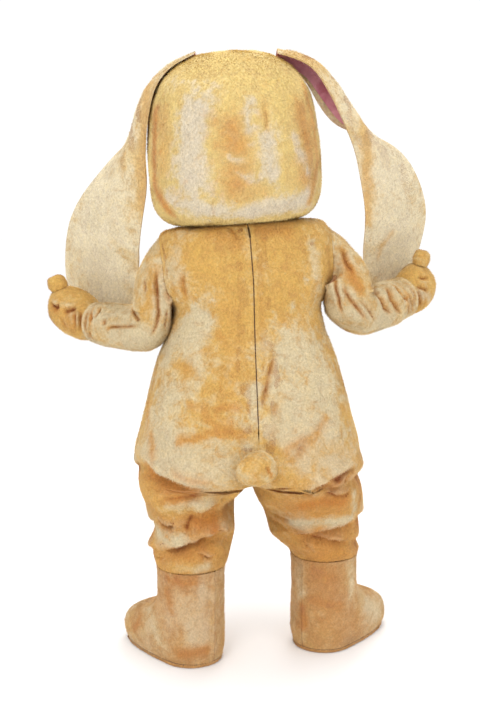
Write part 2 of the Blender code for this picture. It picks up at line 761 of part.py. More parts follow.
def boot_point(side, angle, place, inset=0.0):
    """A point of a boot: 0 degrees is its toe, 90 its outer side, 180 its heel and -90 its inner side."""
    row = between(BOOTS, place)
    turn = math.radians(angle)
    reach = (row["toe"] if abs(angle) < 90 else row["heel"]) - inset
    square = 1 - 0.15 * ramp(reach, BOOT_RADIUS + 0.01, 0.25)
    ahead = power(math.cos(turn), square) * reach
    aside = power(math.sin(turn), square) * (row["wide"] - inset)
    if abs(aside) < SEAM / 2 and inset == 0:
        aside = SEAM / 2
    out = side * aside
    x, y = ANKLES[side]
    toe = TOE_TURN[side]
    return Vector(
        (
            side * x + side * math.sin(toe) * ahead + math.cos(toe) * out,
            y + math.cos(toe) * ahead - side * math.sin(toe) * out,
            row["height"] - NECK_HEIGHT,
        )
    )


def boot_half_point(side, half, angle, place):
    """A point of one half, from its toe seam to its heel seam."""
    point = boot_point(side, half * angle, place)
    if 1 < angle < 179:
        return point
    toe = TOE_TURN[side]
    out = Vector((math.cos(toe), -side * math.sin(toe), 0.0)) * side * half
    x, y = ANKLES[side]
    middle = Vector((side * x, y, point.z))
    return point + out * (SEAM / 2 - (point - middle).dot(out))


for side, side_name in SIDES.items():
    for half, half_name in {INNER: "inner", OUTER: "outer"}.items():
        rows = surface_rows(
            lambda u, v: boot_half_point(side, half, u, v),
            places_of(BOOTS),
            lambda v: (0.0, 180.0),
            2 * BOOT_COLUMNS,
            half * side,
            0.0,
            BOOT_WALL,
        )
        toe = TOE_TURN[side]
        rows = squared(rows, Vector((math.cos(toe), -side * math.sin(toe), 0.0)))
        wall_of_rows(f"boot_{side_name}_{half_name}", rows, PLUSH_TAN, closed=False)

# Soles: a flat plate under each boot, as far out as the boot's lower edge.
SOLE_SIDES = 24
SOLE_BEVEL = 0.004
OFF_HEEL = 180 - 1e-6  # degrees, just off the heel's seam


def sole_object(side, name):
    faces, points = [], []
    last = len(BOOTS) - 1.0
    for level, height in enumerate((SOLE, 0.0)):
        for k in range(SOLE_SIDES):
            point = boot_point(side, 360 * k / SOLE_SIDES - OFF_HEEL, last, inset=SOLE_BEVEL * level)
            point.z = height - NECK_HEIGHT
            points.append(point)
    for k in range(SOLE_SIDES):
        after = (k + 1) % SOLE_SIDES
        faces.append([k, after, SOLE_SIDES + after, SOLE_SIDES + k])
    faces.append(list(range(SOLE_SIDES)))
    faces.append(list(range(SOLE_SIDES, 2 * SOLE_SIDES)))
    return solid(name, points, faces, SOLE_BROWN)


for side, side_name in SIDES.items():
    sole_object(side, f"boot_{side_name}_sole")


def headed(point):
    """A point of the head, from the frame of its own base, in the part's frame."""
    turned = Matrix.Rotation(-LEAN, 3, "Y") @ Matrix.Rotation(YAW, 3, "Z") @ point
    base = HEAD[-1]["height"] - NECK_HEIGHT + math.tan(LEAN) * NECK_X
    return turned + Vector((NECK_X, 0.0, base))


def head_local(facing, angle, place):
    """A point of the head. 0 degrees is its right side, and 180 its left."""
    row = between(HEAD, place)
    turn = math.radians(angle)
    depth = row["front"] if facing == FRONT else -row["back"]
    square = HEAD_SQUARE + (1 - HEAD_SQUARE) * ramp(0.19 - row["wide"], 0.0, 0.07)
    x = row["wide"] * power(math.cos(turn), square) + row["shift"]
    y = facing * max(SEAM / 2, abs(depth * power(math.sin(turn), square)))
    return Vector((x, y, row["height"] - HEAD[-1]["height"]))


def head_point(facing, angle, place):
    return headed(head_local(facing, angle, place))


for facing, name in ((BACK, "head_back"), (FRONT, "head_face")):
    rows = surface_rows(
        lambda u, v: head_point(facing, u, v),
        places_of(HEAD),
        lambda v: (0.0, 180.0),
        HEAD_COLUMNS,
        -facing,
        0.0,
        HEAD_WALL,
    )
    tip = tuple(sum((pair[layer] for pair in rows[0]), Vector()) / len(rows[0]) for layer in (0, 1))
    across = headed(Vector((0.0, 1.0, 0.0))) - headed(Vector())
    wall_of_rows(name, squared([[tip], *rows[1:]], across), PLUSH_TAN, closed=False)

# Ears. Each is a strip of plush with a satin lining, curled round its length. The stations are along
# its crest: turn is how far the strip has turned from front-to-back towards sideways.
EAR_ACROSS = (-1.0, -0.86, -0.45, 0.0, 0.45, 0.86, 1.0)  # the lining ends at the second and the last but one
HEAD_CLEAR = {LEFT: 0.0118, RIGHT: 0.0103}  # of the plush side from the head
LINING_REST = 0.0006  # room between the ear's plush and its lining, which is sewn down along its edge
EAR_TABLE = "x y height turn half curl steps"
EARS = {
    LEFT: table(
        EAR_TABLE,
        (0.165, 0.000, 1.906, -4, 0.074, 0.040, 1),
        (0.224, 0.000, 1.894, -4, 0.076, 0.052, 1),
        (0.282, 0.000, 1.862, -4, 0.080, 0.064, 1),
        (0.324, -0.004, 1.815, -2, 0.082, 0.070, 1),
        (0.352, -0.004, 1.760, 2, 0.082, 0.070, 1),
        (0.370, 0.004, 1.700, 12, 0.084, 0.062, 1),
        (0.388, 0.022, 1.630, 30, 0.090, 0.050, 1),
        (0.410, 0.048, 1.555, 46, 0.102, 0.038, 1),
        (0.438, 0.082, 1.480, 53, 0.121, 0.028, 1),
        (0.471, 0.126, 1.400, 54, 0.149, 0.022, 1),
        (0.496, 0.170, 1.320, 53, 0.172, 0.018, 1),
        (0.512, 0.215, 1.245, 51, 0.181, 0.016, 1),
        (0.520, 0.243, 1.180, 50, 0.174, 0.015, 1),
        (0.516, 0.252, 1.120, 50, 0.150, 0.013, 0),
    ),
    RIGHT: table(
        EAR_TABLE,
        (0.080, 0.000, 1.920, -14, 0.066, 0.030, 1),
        (0.135, 0.002, 1.915, -16, 0.062, 0.042, 1),
        (0.195, 0.004, 1.898, -20, 0.058, 0.056, 1),
        (0.245, 0.006, 1.855, -22, 0.056, 0.066, 1),
        (0.290, 0.008, 1.795, -20, 0.055, 0.070, 1),
        (0.328, 0.012, 1.740, -8, 0.058, 0.066, 1),
        (0.372, 0.022, 1.685, 20, 0.068, 0.054, 1),
        (0.410, 0.038, 1.625, 46, 0.084, 0.040, 1),
        (0.440, 0.058, 1.560, 60, 0.100, 0.028, 1),
        (0.466, 0.090, 1.490, 59, 0.116, 0.020, 1),
        (0.483, 0.128, 1.420, 56, 0.132, 0.016, 1),
        (0.490, 0.167, 1.355, 53, 0.140, 0.014, 1),
        (0.489, 0.206, 1.290, 51, 0.135, 0.014, 1),
        (0.484, 0.230, 1.206, 50, 0.112, 0.012, 0),
    ),
}


def head_reach(way):
    """How far the head's outside is from its middle, in a direction of its own frame."""
    low, high = 0.05, 0.5
    upright = [dict(row, height=-row["height"]) for row in HEAD[:-1]]
    for _ in range(24):
        reach = (low + high) / 2
        x, y, z = way * reach + HEAD_MIDDLE
        height = z + HEAD[-1]["height"]
        inside = upright[-1]["height"] >= -height >= upright[0]["height"]
        if inside:
            row = between(HEAD, share_at(upright, -height))
            deep = row["front"] if y > 0 else -row["back"]
            share = 2 / HEAD_SQUARE
            inside = (abs(x) / max(row["wide"], 1e-6)) ** share + (abs(y) / max(deep, 1e-6)) ** share < 1
        low, high = (reach, high) if inside else (low, reach)
    return low


HEAD_MIDDLE = Vector((0.0, 0.0, 0.25))


def clear_of_head(point, gap):
    """The point, or the nearest one outwards that keeps a gap to the head."""
    turned = Matrix.Rotation(-LEAN, 3, "Y") @ Matrix.Rotation(YAW, 3, "Z")
    base = headed(Vector())
    local = turned.transposed() @ (point - base) - HEAD_MIDDLE
    way = local.normalized()
    reach = head_reach(way) + gap
    if local.length >= reach:
        return point
    return turned @ (way * reach + HEAD_MIDDLE) + base


def ear_point(side, across, place):
    """A point of the ear's plush side: across runs from -1 at its back edge to 1 at its front edge."""
    rows, step = EARS[side], 0.05
    row = between(rows, place)
    ends = [between(rows, max(0.0, min(len(rows) - 1.0, place + d))) for d in (-step, step)]
    along = Vector([ends[1][c] - ends[0][c] for c in ("x", "y", "height")]).normalized()
    ahead = Vector((0.0, 1.0, 0.0))
    ahead = (ahead - along * ahead.dot(along)).normalized()
    off = along.cross(ahead)
    turn = math.radians(row["turn"])
    wide = ahead * math.cos(turn) + off * math.sin(turn)
    out = off * math.cos(turn) - ahead * math.sin(turn)
    here = Vector((row["x"], row["y"], row["height"]))
    point = here + wide * row["half"] * across - out * row["curl"] * across**2
    return Vector((side * point.x, point.y, point.z - NECK_HEIGHT))


def ear_grid(side):
    grid = []
    for place in places_of(EARS[side]):
        row = [ear_point(side, across, place) for across in EAR_ACROSS]
        grid.append([clear_of_head(point, HEAD_CLEAR[side]) for point in row])
    return grid


def grid_layer(grid, sign, near, far):
    """Rows of (outer, inner) points at two depths under a grid."""
    rows = []
    for i, row in enumerate(grid):
        made = []
        for k, point in enumerate(row):
            across = row[min(k + 1, len(row) - 1)] - row[max(k - 1, 0)]
            along = grid[min(i + 1, len(grid) - 1)][k] - grid[max(i - 1, 0)][k]
            out = across.cross(along).normalized() * sign
            made.append((point - out * near, point - out * far))
        rows.append(made)
    return rows


for side, side_name in SIDES.items():
    grid = ear_grid(side)
    wall_of_rows(f"ear_{side_name}", grid_layer(grid, -side, 0.0, EAR_PLUSH), PLUSH_TAN, closed=False)
    near = EAR_PLUSH + LINING_REST
    lined = [row[1:-1] for row in grid_layer(grid, -side, near, near + LINING)[:-1]]
    wall_of_rows(f"ear_{side_name}_lining", lined, SATIN_PINK, closed=False)

# Face: a stuffed muzzle, a nose on it, and two eyes.
MUZZLE_PLACE, MUZZLE_WIDE, MUZZLE_HIGH, MUZZLE_RISE = 6.75, 0.118, 0.080, 0.080
NOSE_UP, NOSE_WIDE, NOSE_HIGH, NOSE_RISE = 0.42, 0.30, 0.28, 0.016
EYE_PLACE, EYE_ANGLE, EYE_WIDE, EYE_HIGH, EYE_RISE = 5.05, 24, 0.026, 0.038, 0.016


def face_surface(u, v):
    return head_point(FRONT, u, v)


MUZZLE = patch(face_surface, 90, MUZZLE_PLACE, MUZZLE_WIDE, MUZZLE_HIGH, -1)


def muzzle_surface(u, v):
    """The muzzle's front, from shares of its radius across and down."""
    share = math.hypot(u, v)
    return raised(MUZZLE, MUZZLE_RISE, share, math.degrees(math.atan2(v, u)), dome(share))


def nose_foot(share, angle):
    turn = math.radians(angle)
    here = (NOSE_WIDE * share * math.cos(turn), -NOSE_UP + NOSE_HIGH * share * math.sin(turn))
    return muzzle_surface(*here), surface_normal(muzzle_surface, *here, 0.02, 0.02) * -1


pad("muzzle", MUZZLE, MUZZLE_RISE, ROUND_PAD, 18, MUZZLE_CREAM)
pad("nose", nose_foot, NOSE_RISE, ROUND_PAD, 12, NOSE_PINK)
for side, side_name in SIDES.items():
    base = patch(face_surface, 90 - side * EYE_ANGLE, EYE_PLACE, EYE_WIDE, EYE_HIGH, -1)
    pad(f"eye_{side_name}", base, EYE_RISE, ROUND_PAD, 12, EYE_BLACK)

# Tail: a stuffed ball over the seam of the seat.
TAIL_X, TAIL_PLACE = -0.012, 12.47  # to the left of the middle seam
TAIL_WIDE, TAIL_HIGH, TAIL_RISE = 0.064, 0.053, 0.095
TAIL_REST = 0.0013  # the foot of the tail clears the facets of the seat


def seat_surface(u, v):
    """The back of the body, from metres to the right of its middle seam."""
    side = RIGHT if u > 0 else LEFT
    return body_point(side, BACK, reach_angle(body_section(side, v), abs(u)), v)


TAIL = patch(seat_surface, TAIL_X, TAIL_PLACE, TAIL_WIDE, TAIL_HIGH, -1, du=0.01)
pad("tail", TAIL, TAIL_RISE, BALL, 16, PLUSH_TAN, TAIL_REST)

# Thumbs: stuffed, on top of the mitts.
THUMB_PLACES = {LEFT: (-16, 5.0), RIGHT: (-12, 4.3)}
THUMB_WIDE, THUMB_RISE = 0.036, 0.040
THUMB_REST = 0.0014  # the foot of a thumb clears the mitt's facets
for side, side_name in SIDES.items():
    angle, place = THUMB_PLACES[side]
    base = patch(lambda u, v: mitt_point(side, u, v), angle, place, THUMB_WIDE, THUMB_WIDE, -side)
    pad(f"thumb_{side_name}", base, THUMB_RISE, STUB, 10, PLUSH_TAN, THUMB_REST)

# Zip: two tapes behind the edges of the back, and the closed chain between the edges.
TAPE_DEPTH = PLUSH + 0.0009
ZIP_PLACES = [place for place in places_of(TRUNK) if place > 0]
FINISH_AT_COLLAR = 0.5
ZIP_PLACES[0:0] = [FINISH_AT_COLLAR]


def tape_limits(side):
    def limits(place):
        row = body_section(side, place)
        return reach_angle(row, ZIP_TAPE_WIDTH), reach_angle(row, SEAM / 2)

    return limits


def zip_point(side, angle, place):
    """A point on the line of the back, without the zip's channel."""
    row = body_section(side, place)
    turn = math.radians(angle)
    x = row["middle"] + row["half"] * power(math.cos(turn), row["square"])
    y = row["waist"] - row["depth"] * abs(math.sin(turn)) ** row["square"]
    return posed(side * x, y, row["height"])


for side, side_name in SIDES.items():
    rows = surface_rows(
        lambda u, v: zip_point(side, u, v),
        ZIP_PLACES,
        tape_limits(side),
        1,
        side,
        TAPE_DEPTH,
        TAPE_DEPTH + ZIP_TAPE,
    )
    wall_of_rows(f"zip_tape_{side_name}", rows, ZIP_BROWN, closed=False)


def chain_surface(u, v):
    side = RIGHT if u > 0 else LEFT
    return zip_point(side, reach_angle(body_section(side, v), abs(u)), v)


CHAIN_NEAR = TAPE_DEPTH - SEAM - ZIP_CHAIN
rows = surface_rows(
    chain_surface,
    ZIP_PLACES,
    lambda v: (-ZIP_CHAIN_HALF, ZIP_CHAIN_HALF),
    1,
    -1,
    CHAIN_NEAR,
    TAPE_DEPTH - SEAM,
)
wall_of_rows("zip_chain", rows, ZIP_METAL, closed=False)

# Slider at the top of the zip, with its bridge, and the pull tab that hangs from the bridge.
SLIDER_PLACE = 3.70
SLIDER_HALF = 0.0027
SLIDER_TOP, SLIDER_LOW = 0.0055, -0.0055  # up and down the zip
SLIDER_UNDER, SLIDER_OVER = -CHAIN_NEAR + SEAM, 0.0008  # from the surface of the back
BRIDGE_HALF = 0.0010
BRIDGE_TOP, BRIDGE_LOW = 0.0036, -0.0036
BRIDGE_OVER = 0.0048
BRIDGE_BAR = 0.0011
SUNK = 0.0005  # how far parts of one casting run into each other
PULL_HALF = 0.0030
PULL_THICK = 0.0012
PULL_EYE_HALF = 0.0015  # half the width of the eye in the pull, which goes round the bridge
PULL_EYE = 0.0040  # length of the eye from the hinge
PULL_LENGTH = 0.024
PULL_REST = 0.0010  # the pull's end above the zip's line
HINGE_OUT = 0.0026
PLACE_STEP = 0.02  # of the search for the place where the pull's end rests
HINGE_UP = BRIDGE_LOW + BRIDGE_BAR + 0.0004 + PULL_THICK / 2


def slider_frame():
    """The slider's middle on the surface, and its across, up and out directions."""
    middle = chain_surface(0.0, SLIDER_PLACE)
    step = 0.15
    up = (chain_surface(0.0, SLIDER_PLACE - step) - chain_surface(0.0, SLIDER_PLACE + step)).normalized()
    across = Vector((math.cos(YAW), math.sin(YAW), 0.0))
    across = (across - up * across.dot(up)).normalized()
    return middle, across, up, up.cross(across) * -1


def placed_blocks(name, blocks, finish, place):
    """One solid of outlines in the slider's up and out plane, each extruded across from a to b."""
    middle, across, up, out = place
    made = None
    for a, b, outline in blocks:
        points = [middle + across * w + up * u + out * o for w in (a, b) for u, o in outline]
        count = len(outline)
        faces = [list(range(count)), list(range(count, 2 * count))]
        faces += [[k, (k + 1) % count, count + (k + 1) % count, count + k] for k in range(count)]
        block = solid(name, points, faces, finish)
        if made is None:
            made = block
            continue
        join = made.modifiers.new("join", "BOOLEAN")
        join.operation, join.solver, join.object = "UNION", "EXACT", block
        seen = made.evaluated_get(bpy.context.evaluated_depsgraph_get())
        joined = bpy.data.meshes.new_from_object(seen)
        made.modifiers.remove(join)
        made.data = joined
        bpy.data.objects.remove(block)
    made.name = name
    return made


def box(u0, u1, o0, o1):
    return ((u0, o0), (u1, o0), (u1, o1), (u0, o1))


slider = slider_frame()
arch = (
    (BRIDGE_LOW, SLIDER_OVER - SUNK),
    (BRIDGE_LOW + BRIDGE_BAR, SLIDER_OVER - SUNK),
    (BRIDGE_LOW + BRIDGE_BAR, BRIDGE_OVER - BRIDGE_BAR),
    (BRIDGE_TOP - BRIDGE_BAR, BRIDGE_OVER - BRIDGE_BAR),
    (BRIDGE_TOP - BRIDGE_BAR, SLIDER_OVER - SUNK),
    (BRIDGE_TOP, SLIDER_OVER - SUNK),
    (BRIDGE_TOP, BRIDGE_OVER),
    (BRIDGE_LOW, BRIDGE_OVER),
)
slider_blocks = [
    (-SLIDER_HALF, SLIDER_HALF, box(SLIDER_LOW, SLIDER_TOP, SLIDER_UNDER, SLIDER_OVER)),
    (-BRIDGE_HALF, BRIDGE_HALF, arch),
]
placed_blocks("zip_slider", slider_blocks, ZIP_METAL, slider)

middle, across, up, out = slider
hinge = middle + up * HINGE_UP + out * HINGE_OUT
below = SLIDER_PLACE
while chain_surface(0.0, below).z > hinge.z - PULL_LENGTH:
    below += PLACE_STEP
end = chain_surface(0.0, below) + out * (PULL_REST + PULL_THICK / 2)
hanging = (hinge - end) - across * (hinge - end).dot(across)
hanging.normalize()
pull_frame = (hinge, across, hanging, hanging.cross(across) * -1)
half = PULL_THICK / 2
eye_end = -PULL_EYE - 2 * SUNK
bar_side = PULL_EYE_HALF + SUNK
pull_blocks = [
    (-PULL_HALF, PULL_HALF, box(-PULL_LENGTH, -PULL_EYE, -half, half)),
    (-PULL_HALF, -PULL_EYE_HALF, box(eye_end, half, -half, half)),
    (PULL_EYE_HALF, PULL_HALF, box(eye_end, half, -half, half)),
    (-bar_side, bar_side, box(-half * 0.8, half * 0.8, -half * 0.96, half * 0.96)),
]
pull = placed_blocks("zip_pull", pull_blocks, ZIP_METAL, pull_frame)
pull.data.transform(Matrix.Translation(-hinge))
pull.location = hinge
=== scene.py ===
"""The dressed rabbit mascot costume: its plush, satin and zip, piece by piece."""

import math

import bpy
import numpy as np
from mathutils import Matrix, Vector
from mathutils.bvhtree import BVHTree
from mathutils.kdtree import KDTree


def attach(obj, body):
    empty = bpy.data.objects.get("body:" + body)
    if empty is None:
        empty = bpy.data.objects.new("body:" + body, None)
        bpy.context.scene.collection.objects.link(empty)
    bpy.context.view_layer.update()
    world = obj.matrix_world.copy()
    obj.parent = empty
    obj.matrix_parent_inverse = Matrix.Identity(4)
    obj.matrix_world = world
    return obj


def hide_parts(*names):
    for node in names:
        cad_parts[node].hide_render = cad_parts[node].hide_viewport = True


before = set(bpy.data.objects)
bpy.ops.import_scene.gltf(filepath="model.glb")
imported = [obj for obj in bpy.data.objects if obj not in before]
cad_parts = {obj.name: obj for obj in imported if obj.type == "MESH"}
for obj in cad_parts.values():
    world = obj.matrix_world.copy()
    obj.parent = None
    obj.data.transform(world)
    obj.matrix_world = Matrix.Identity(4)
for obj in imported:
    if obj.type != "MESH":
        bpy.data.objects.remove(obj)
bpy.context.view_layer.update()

# Camera: at the height of an adult's eyes, 3.4 m behind the wearer, tilted down so that the ears' tops
# and the boots' soles are both inside the frame. The floor is 1.4 m under the neckline.
FLOOR = -1.400
camera = bpy.data.objects.new("camera", bpy.data.cameras.new("camera"))
camera.location = (-0.032, -3.4, 0.100)
camera.rotation_euler = (math.radians(81.0), 0.0, 0.0)
camera.data.sensor_fit = "VERTICAL"
camera.data.sensor_height = 36.0
camera.data.lens = 53.9
bpy.context.scene.collection.objects.link(camera)
bpy.context.scene.camera = camera

# Studio: a wide pale floor, a pale room and four large soft lights, the main one above the camera.
bpy.ops.object.select_all(action="DESELECT")
bpy.ops.mesh.primitive_plane_add(size=60.0, location=(0.0, 0.0, FLOOR - 0.0005))
floor = bpy.context.object
floor.name = "studio_floor"
paper = bpy.data.materials.new("white_paper")
paper.use_nodes = True
paper.node_tree.nodes["Principled BSDF"].inputs["Base Color"].default_value = (0.96, 0.96, 0.96, 1.0)
paper.node_tree.nodes["Principled BSDF"].inputs["Roughness"].default_value = 0.9
floor.data.materials.append(paper)
SOFT_LIGHTS = (  # name, place, size, watts
    ("main", (-1.2, -3.2, 2.8), 1.6, 63.0),
    ("fill", (2.6, -3.4, 1.2), 2.2, 16.0),
    ("top", (0.2, 0.2, 3.4), 2.0, 34.0),
    ("front", (0.8, 3.6, 2.4), 2.0, 50.0),
)
for light_name, place, size, watts in SOFT_LIGHTS:
    light = bpy.data.objects.new(light_name, bpy.data.lights.new(light_name, "AREA"))
    light.data.size = size
    light.data.energy = watts
    light.location = place
    light.rotation_euler = (Vector((0.0, 0.0, -0.5)) - light.location).to_track_quat("-Z", "Y").to_euler()
    bpy.context.scene.collection.objects.link(light)
world = bpy.data.worlds.new("pale_room")
world.use_nodes = True
world.node_tree.nodes["Background"].inputs["Color"].default_value = (1.0, 1.0, 1.0, 1.0)
world.node_tree.nodes["Background"].inputs["Strength"].default_value = 1.06
bpy.context.scene.world = world
bpy.context.scene.view_settings.view_transform = "Standard"

# Jumpsuit: a back and a front panel on each side, from collar to hem, cut from short pile plush and sewn
# right sides together, so that the pile closes over the seams. The trousers bag in rolls over the boots.


def linear(code):
    """An sRGB hex colour as linear red, green, blue and alpha."""
    parts = [int(code[i : i + 2], 16) / 255 for i in (1, 3, 5)]
    return [*(v / 12.92 if v <= 0.04045 else ((v + 0.055) / 1.055) ** 2.4 for v in parts), 1.0]


def feed(material, node, inputs):
    """Gives a shader node its inputs: each is a value, a colour's code, or another node's output."""
    for key, value in inputs.items():
        if isinstance(value, bpy.types.NodeSocket):
            material.node_tree.links.new(value, node.inputs[key])
        else:
            node.inputs[key].default_value = linear(value) if isinstance(value, str) else value


def add_node(material, kind, inputs=(), **settings):
    """A shader node with its settings and its inputs."""
    made = material.node_tree.nodes.new("ShaderNode" + kind)
    for key, value in settings.items():
        setattr(made, key, value)
    feed(material, made, dict(inputs))
    return made


def finish_of(name, roughness, **sockets):
    """A material with the values that are the same all over it, its Principled shader, and the place in the
    costume that its patterns are laid out from."""
    material = bpy.data.materials.new(name)
    material.use_nodes = True
    shader = material.node_tree.nodes["Principled BSDF"]
    sockets = {key.replace("_", " "): value for key, value in sockets.items()}
    feed(material, shader, {"Roughness": roughness, **sockets})
    return material, shader, add_node(material, "TexCoord").outputs["Object"]


PATCH, FLECK, TUFT = 0.110, 0.030, 0.0065  # brushed patches, clumps of pile and single tufts, in metres


def plush(name, gold, pale, warm, shade):
    """Sheared acrylic pile on a knitted back. Brushed against its lie it shows its pale tips, in patches
    with ragged soft edges. Smoothed down it is golden, and crushed it shows its roots' warmer colour. That
    warm colour is also painted shade in its folds and under its rolls, and its shade colour is painted shade
    in its creases, its hidden places and its seams' grooves."""
    material, shader, place = finish_of(
        name, 0.92, Sheen_Weight=0.22, Sheen_Roughness=0.45, Sheen_Tint="#FFE9C4", Specular_IOR_Level=0.2
    )
    nap, pressed_and_shade_attribute, painted_shade, tip = (
        add_node(material, "Attribute", attribute_name=column).outputs["Fac"]
        for column in ("nap", "warm", "painted_shade", "tip")
    )
    spread = {"Vector": place, "Scale": 1 / PATCH, "Detail": 3.0, "Distortion": 0.8}
    patches = add_node(material, "TexNoise", spread).outputs["Fac"]
    spread = {"Vector": place, "Scale": 1 / FLECK, "Detail": 6.0, "Roughness": 0.70, "Distortion": 0.6}
    flecks = add_node(material, "TexNoise", spread).outputs["Fac"]
    tufts = add_node(material, "TexNoise", {"Vector": place, "Scale": 1 / TUFT, "Detail": 2.0}).outputs["Fac"]
    ragged = add_node(material, "Math", {0: flecks, 1: 1.6, 2: patches}, operation="MULTIPLY_ADD").outputs[0]
    brushed = add_node(material, "Math", {0: ragged, 1: nap}).outputs[0]
    edges = {"Value": brushed, "From Min": 1.42, "From Max": 2.14}
    brushed = add_node(material, "MapRange", edges, interpolation_type="SMOOTHSTEP").outputs[0]
    colour = add_node(material, "Mix", {0: brushed, 6: gold, 7: pale}, data_type="RGBA").outputs[2]
    # The warm colour: partly crushed pile, partly painted shade in the folds and under the rolls, where the
    # skin's column for it says.
    pressed_and_painted_shade = add_node(material, "Math", {0: flecks, 1: 0.8, 2: pressed_and_shade_attribute}, operation="MULTIPLY_ADD").outputs[0]
    edges = {"Value": pressed_and_painted_shade, "From Min": 0.42, "From Max": 1.25}
    pressed_and_painted_shade = add_node(material, "MapRange", edges).outputs[0]
    colour = add_node(material, "Mix", {0: pressed_and_painted_shade, 6: colour, 7: warm}, data_type="RGBA").outputs[2]
    # Painted shade: where the skin's shade column says, in its creases, under its rolls, in its hidden places
    # and along its seams' grooves, the colour is mixed towards the shade colour.
    painted_shade_share = add_node(material, "MapRange", {"Value": painted_shade, "From Min": 0.16, "To Max": 0.90}).outputs[0]
    colour = add_node(material, "Mix", {0: painted_shade_share, 6: colour, 7: shade}, data_type="RGBA").outputs[2]
    # Lightness varies at random from tuft to tuft and from clump to clump. The clumps' noise also raises the
    # bump below, so the colour is darker and more orange in the crinkles' dips and lighter and yellower on
    # their crests: random tone, with painted shade and painted light on the crinkles.
    light, crinkle_tone_light_and_shade, turned = (
        add_node(
            material,
            "MapRange",
            {"Value": grain, "From Min": 0.3, "From Max": 0.7, "To Min": low, "To Max": high},
        ).outputs[0]
        for grain, low, high in ((tufts, 0.86, 1.11), (flecks, 0.88, 1.10), (flecks, 0.487, 0.507))
    )
    light = add_node(material, "Math", {0: light, 1: crinkle_tone_light_and_shade}, operation="MULTIPLY").outputs[0]
    # Darker towards the pile's roots, on the skin under the pile and at the blades' feet: partly the roots'
    # own warmer colour, partly painted shade inside the pile.
    ends = add_node(material, "MapRange", {"Value": tip, "To Min": 0.80, "To Max": 1.13}).outputs[0]
    light = add_node(material, "Math", {0: light, 1: ends}, operation="MULTIPLY").outputs[0]
    toned = add_node(material, "HueSaturation", {"Hue": turned, "Value": light, "Color": colour})
    height = add_node(material, "Math", {0: tufts, 1: 0.3, 2: flecks}, operation="MULTIPLY_ADD")
    bump = add_node(material, "Bump", {"Height": height.outputs[0], "Strength": 0.7, "Distance": 0.0035})
    feed(material, shader, {"Base Color": toned.outputs[0], "Normal": bump.outputs[0]})
    return material


def tree_of(names):
    """What is there of the named solids, to measure along a line of sight or to the nearest point."""
    corners, faces = [], []
    for node_name in names:
        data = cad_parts[node_name].data
        first = len(corners)
        corners += [v.co.copy() for v in data.vertices]
        faces += [[first + i for i in p.vertices] for p in data.polygons]
    return BVHTree.FromPolygons(corners, faces)


everything = tree_of(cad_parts)
CLEAR = 0.006  # over the cloth, where a look outwards starts
SKY = [  # ten directions, evenly over a half sphere round +Z
    Vector((math.cos(2.4 * k) * math.sqrt(1 - h * h), math.sin(2.4 * k) * math.sqrt(1 - h * h), h))
    for k, h in enumerate([(k + 0.5) / 10 for k in range(10)])
]


def openness(place, normal):
    """The share of directions in which a point of the surface sees out of the costume."""
    turn = Vector((0.0, 0.0, 1.0)).rotation_difference(normal)
    start = place + normal * CLEAR
    return sum(everything.ray_cast(start, turn @ way)[0] is None for way in SKY) / len(SKY)


def values(data, key, size, kind=np.float32):
    """A column of a mesh's vertices, edges or attribute as an array."""
    column = np.zeros(len(data) * size, kind)
    data.foreach_get(key, column)
    return column.reshape(-1, size) if size > 1 else column


def points_of(mesh):
    """Where a mesh's vertices are."""
    return values(mesh.vertices, "co", 3).astype(float)


def move_to(mesh, points):
    """Puts a mesh's vertices at these points."""
    mesh.vertices.foreach_set("co", points.astype(np.float32).ravel())
    mesh.update()


def put(mesh, name, column):
    """Stores one number for each vertex under a name."""
    attribute = mesh.attributes.get(name) or mesh.attributes.new(name, "FLOAT", "POINT")
    attribute.data.foreach_set("value", np.asarray(column, np.float32))


def beside(links, column, size):
    """The sum of a column over the vertices that each vertex's edges lead to."""
    total = np.bincount(links[:, 0], column[links[:, 1]], size)
    return total + np.bincount(links[:, 1], column[links[:, 0]], size)


def nearby(points):
    """A tree to find the nearest of some points in."""
    tree = KDTree(len(points))
    for k, place in enumerate(points):
        tree.insert(place, k)
    tree.balance()
    return tree


def dress(node_name, slot, piece, *pile_on_it, body="costume"):
    """Puts a finished piece in its solid's place, and rides it and the pile on it on their body."""
    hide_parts(node_name)
    for part in (piece, *pile_on_it):
        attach(part, body)


SHORTEST_CUT = 7  # a row of this many sharp edges or fewer is a crease in the cloth and not a cut
HELD = 0.003  # how far a corner is moved, at most, to bring the rounded skin near the solid's own corner


